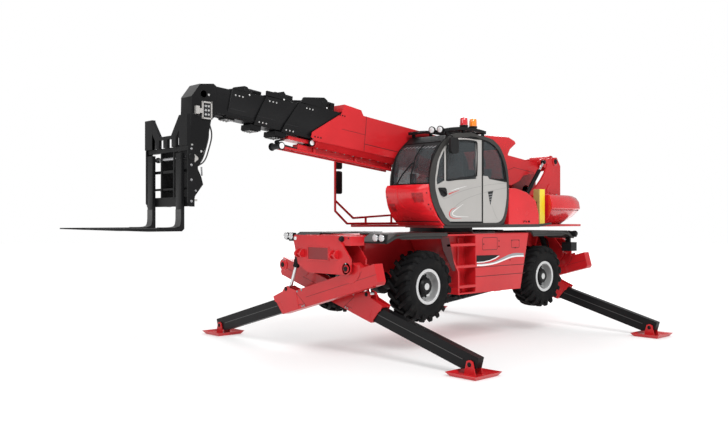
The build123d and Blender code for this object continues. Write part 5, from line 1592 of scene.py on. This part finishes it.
# %% Forks
for hand in (1, -1):
    y = hand * 0.400
    boxes(f"fork_hook_{hand}", SIDE, [((5.862, 5.918), (3.02, 3.115), (y - 0.060, y + 0.060))], "carriage",
          BLACK, edge=0.006)
    # The heel's bend and the lower edge of each fork are in lighter grey: painted highlight.
    ribbon(f"fork_heel_{hand}", SIDE,
           smooth_path([(5.917, 2.35), (5.917, 2.16), (5.955, 2.102), (6.20, 2.102)], 8), 0.006, y - 0.071,
           y + 0.071, "carriage", EDGE_HIGHLIGHT_GREY)
    seam(f"fork_edge_highlight_{hand}", SIDE, [(6.25, 2.093), (7.10, 2.093)], y + hand * 0.075, "carriage",
         wide=0.004, finish=EDGE_HIGHLIGHT_GREY)
print("the forks stand", round(2 * y * hand, 2), "m apart")

# %% [markdown]
# ## Outriggers
# Each outrigger is a red sleeve with a black leg inside and a flat red foot. Both swing in a plane
# across the machine. A detail is told from the sleeve's pivot: how far out along the leg, and how far
# up square to it. The four differ only in where they stand and which way they point, so one loop does.

# %% The outriggers' own view
SLOPE = math.radians(15.5)
#                name,      leg's middle, left or right
OUTRIGGERS = (("front_left", 2.690, 1), ("front_right", 3.030, -1), ("rear_left", -2.690, 1),
              ("rear_right", -3.030, -1))


def leg_view(leg_x, hand):
    """A view of one outrigger: u out along its leg, v up square to it, w forward of the leg's middle."""
    def place(u, v, w):
        u, v, w = np.broadcast_arrays(u, v, w)
        y = -PIN_OUT + u * math.cos(SLOPE) + v * math.sin(SLOPE)
        z = PIN_UP - u * math.sin(SLOPE) + v * math.cos(SLOPE)
        return at(leg_x + w, hand * y, z)
    return place


print("an outrigger's foot pin stands at", np.round(leg_view(2.690, 1)(3.935, -0.221, 0), 3))

# %% Lines of the sleeves
SLEEVE_SEAMS = ([(-0.243, -0.098), (-0.185, -0.164), (-0.100, -0.210), (-0.008, -0.233)],
                [(1.462, -0.063), (1.221, -0.367)],
                [(1.853, -0.174), (1.741, -0.122), (1.551, -0.131)],
                [(1.437, -0.226), (1.795, -0.229), (1.738, -0.283), (1.275, -0.315)])
SLEEVE_TIP = [(1.430, -0.050), (1.600, 0.030), (1.650, 0.066), (1.725, 0.066), (1.800, 0.008),
              (2.040, -0.018), (2.085, -0.025), (2.062, -0.118), (1.990, -0.168), (1.878, -0.168),
              (1.858, -0.276), (1.914, -0.350), (1.862, -0.375), (1.430, -0.375)]
SLEEVE_BOLTS = ((1.28, -0.075), (1.28, -0.345), (1.40, -0.075), (1.33, -0.345))
EAR_RADIUS, SLEEVE_FACE = 0.235, 0.090
around = np.linspace(math.pi * 0.98, math.pi * 2.02, 40)
SLEEVE_EAR = EAR_RADIUS * np.stack([np.cos(around), np.sin(around)], axis=1)
#            name, place (out, up), how far out from the middle, profile, part, finish, sides
LEG_PARTS = (("lug_pin", (1.690, 0.028), 0.094,
              [(-0.01, 0.036), (0.006, 0.036), (0.006, 0.024), (0.014, 0.024)], "outrigger", BLACK, 24),
             ("foot_ring", (3.935, -0.221), 0.094,
              [(-0.008, 0.034), (0.006, 0.034), (0.010, 0.028), (0.010, 0.008)], "foot", BLACK, 28),
             ("foot_ear", (3.935, -0.221), 0.071, [(0, 0.062), (0.023, 0.062)], "foot", RED, 36))
print("a sleeve's flared tip has", len(SLEEVE_TIP), "corners")

# %% Outrigger details
for wheel, leg_x, hand in OUTRIGGERS:
    view, sleeve = leg_view(leg_x, hand), f"outrigger_{wheel}"
    for facing in (1, -1):
        mark, face = f"{wheel}_{facing}", facing * SLEEVE_FACE
        plate(f"sleeve_tip_{mark}", view, SLEEVE_TIP, *span(facing, 0.084, 0.096), sleeve, RED, 0.004)
        plate(f"sleeve_ear_{mark}", view, SLEEVE_EAR, *span(facing, 0.086, 0.096), sleeve, RED, 0.003)
        for number, path in enumerate(SLEEVE_SEAMS):
            seam(f"sleeve_seam_{mark}_{number}", view, path, face, sleeve, wide=0.006)
        # The dark line along the sleeve's fold is painted shade.
        seam(f"sleeve_fold_{mark}", view, [(-0.55, -0.215), (1.20, -0.215)], face, sleeve, wide=0.005)
        bolts(f"sleeve_bolts_{mark}", [view(u, v, face) for u, v in SLEEVE_BOLTS], facing * AHEAD, 0.022,
              sleeve)
        for name, (u, v), out, profile, part, finish, sides in LEG_PARTS:
            turned(f"{name}_{mark}", view(u, v, facing * out), facing * AHEAD, profile, f"{part}_{wheel}",
                   finish, sides)
        # The fold along the leg is a lighter grey line: painted highlight.
        seam(f"leg_fold_{mark}", view, [(1.92, -0.205), (3.78, -0.205)], facing * 0.064, f"leg_{wheel}",
             wide=0.010, finish=EDGE_HIGHLIGHT_GREY)
    print(wheel, "outrigger dressed")

# %% [markdown]
# ## The studio
# The machine stands on a white floor that runs into a white surround. Two large soft lamps light it
# from the front and a third from behind lifts its far edges, so that its shadow is short and soft.

# %% Floor and background
FLOOR_RADIUS, FLOOR_CORNERS, FLOOR_LEVEL = 60.0, 96, -0.002
cosine, sine = circle(FLOOR_CORNERS)
floor_mesh = bpy.data.meshes.new("floor")
floor_mesh.from_pydata(at(FLOOR_RADIUS * cosine, FLOOR_RADIUS * sine, FLOOR_LEVEL).tolist(), [],
                       [list(range(FLOOR_CORNERS))])
floor = bpy.data.objects.new("floor", floor_mesh)
bpy.context.collection.objects.link(floor)
FLOOR = Finish("floor_white", "lamp_plastic", Base_Color=(0.6, 0.6, 0.6), Roughness=0.9,
               Emission_Strength=1.0)
away = FLOOR.add("ShaderNodeVectorMath", {"operation": "LENGTH"}, {0: FLOOR.place}, out=1)
FLOOR.set("Emission Color", FLOOR.mix(away.above(7.0, 9.0), (0.36, 0.36, 0.36), (1.0, 1.0, 1.0)))
floor_mesh.materials.append(FLOOR.material)
print("the floor is", 2 * FLOOR_RADIUS, "m across")

# %% Surround
world = bpy.data.worlds.new("studio")
bpy.context.scene.world = world
world.use_nodes = True
sky = world.node_tree
backdrop = sky.nodes["Background"]
backdrop.inputs["Color"].default_value = (1, 1, 1, 1)
rays = sky.nodes.new("ShaderNodeLightPath")
strength = sky.nodes.new("ShaderNodeMapRange")
strength.inputs["To Min"].default_value = 0.55
strength.inputs["To Max"].default_value = 1.0
sky.links.new(rays.outputs["Is Camera Ray"], strength.inputs["Value"])
sky.links.new(strength.outputs["Result"], backdrop.inputs["Strength"])
print("the surround is called", world.name)

# %% Lamps and camera
def aimed(item, place, target):
    """Puts a lamp or camera at a place and turns it to look at a target."""
    thing = bpy.data.objects.new(item.name, item)
    bpy.context.collection.objects.link(thing)
    thing.location = place
    thing.rotation_euler = (Vector(target) - Vector(place)).to_track_quat("-Z", "Y").to_euler()
    return thing


#      name,      place,              width, power
LAMPS = (("key", (6.0, 14.0, 15.0), 9.0, 2850.0),
         ("front", (17.0, 2.0, 9.0), 8.0, 600.0),
         ("rim", (-12.0, -10.0, 12.0), 10.0, 1800.0))
for name, place, width, power in LAMPS:
    lamp = bpy.data.lights.new(name, "AREA")
    lamp.size = width
    lamp.energy = power
    aimed(lamp, place, (0, 0, 1.6))

EYE, GAZE = np.array((9.5485, 9.715, 2.214)), np.array((-0.688, -0.7256, 0.00105))
lens = bpy.data.cameras.new("camera")
lens.lens = 37.87
lens.sensor_width = 36.0
bpy.context.scene.camera = aimed(lens, EYE.tolist(), (EYE + GAZE).tolist())
bpy.context.scene.view_settings.view_transform = "Standard"
print("camera", round(float(np.linalg.norm(EYE)), 2), "m from the middle of the floor")
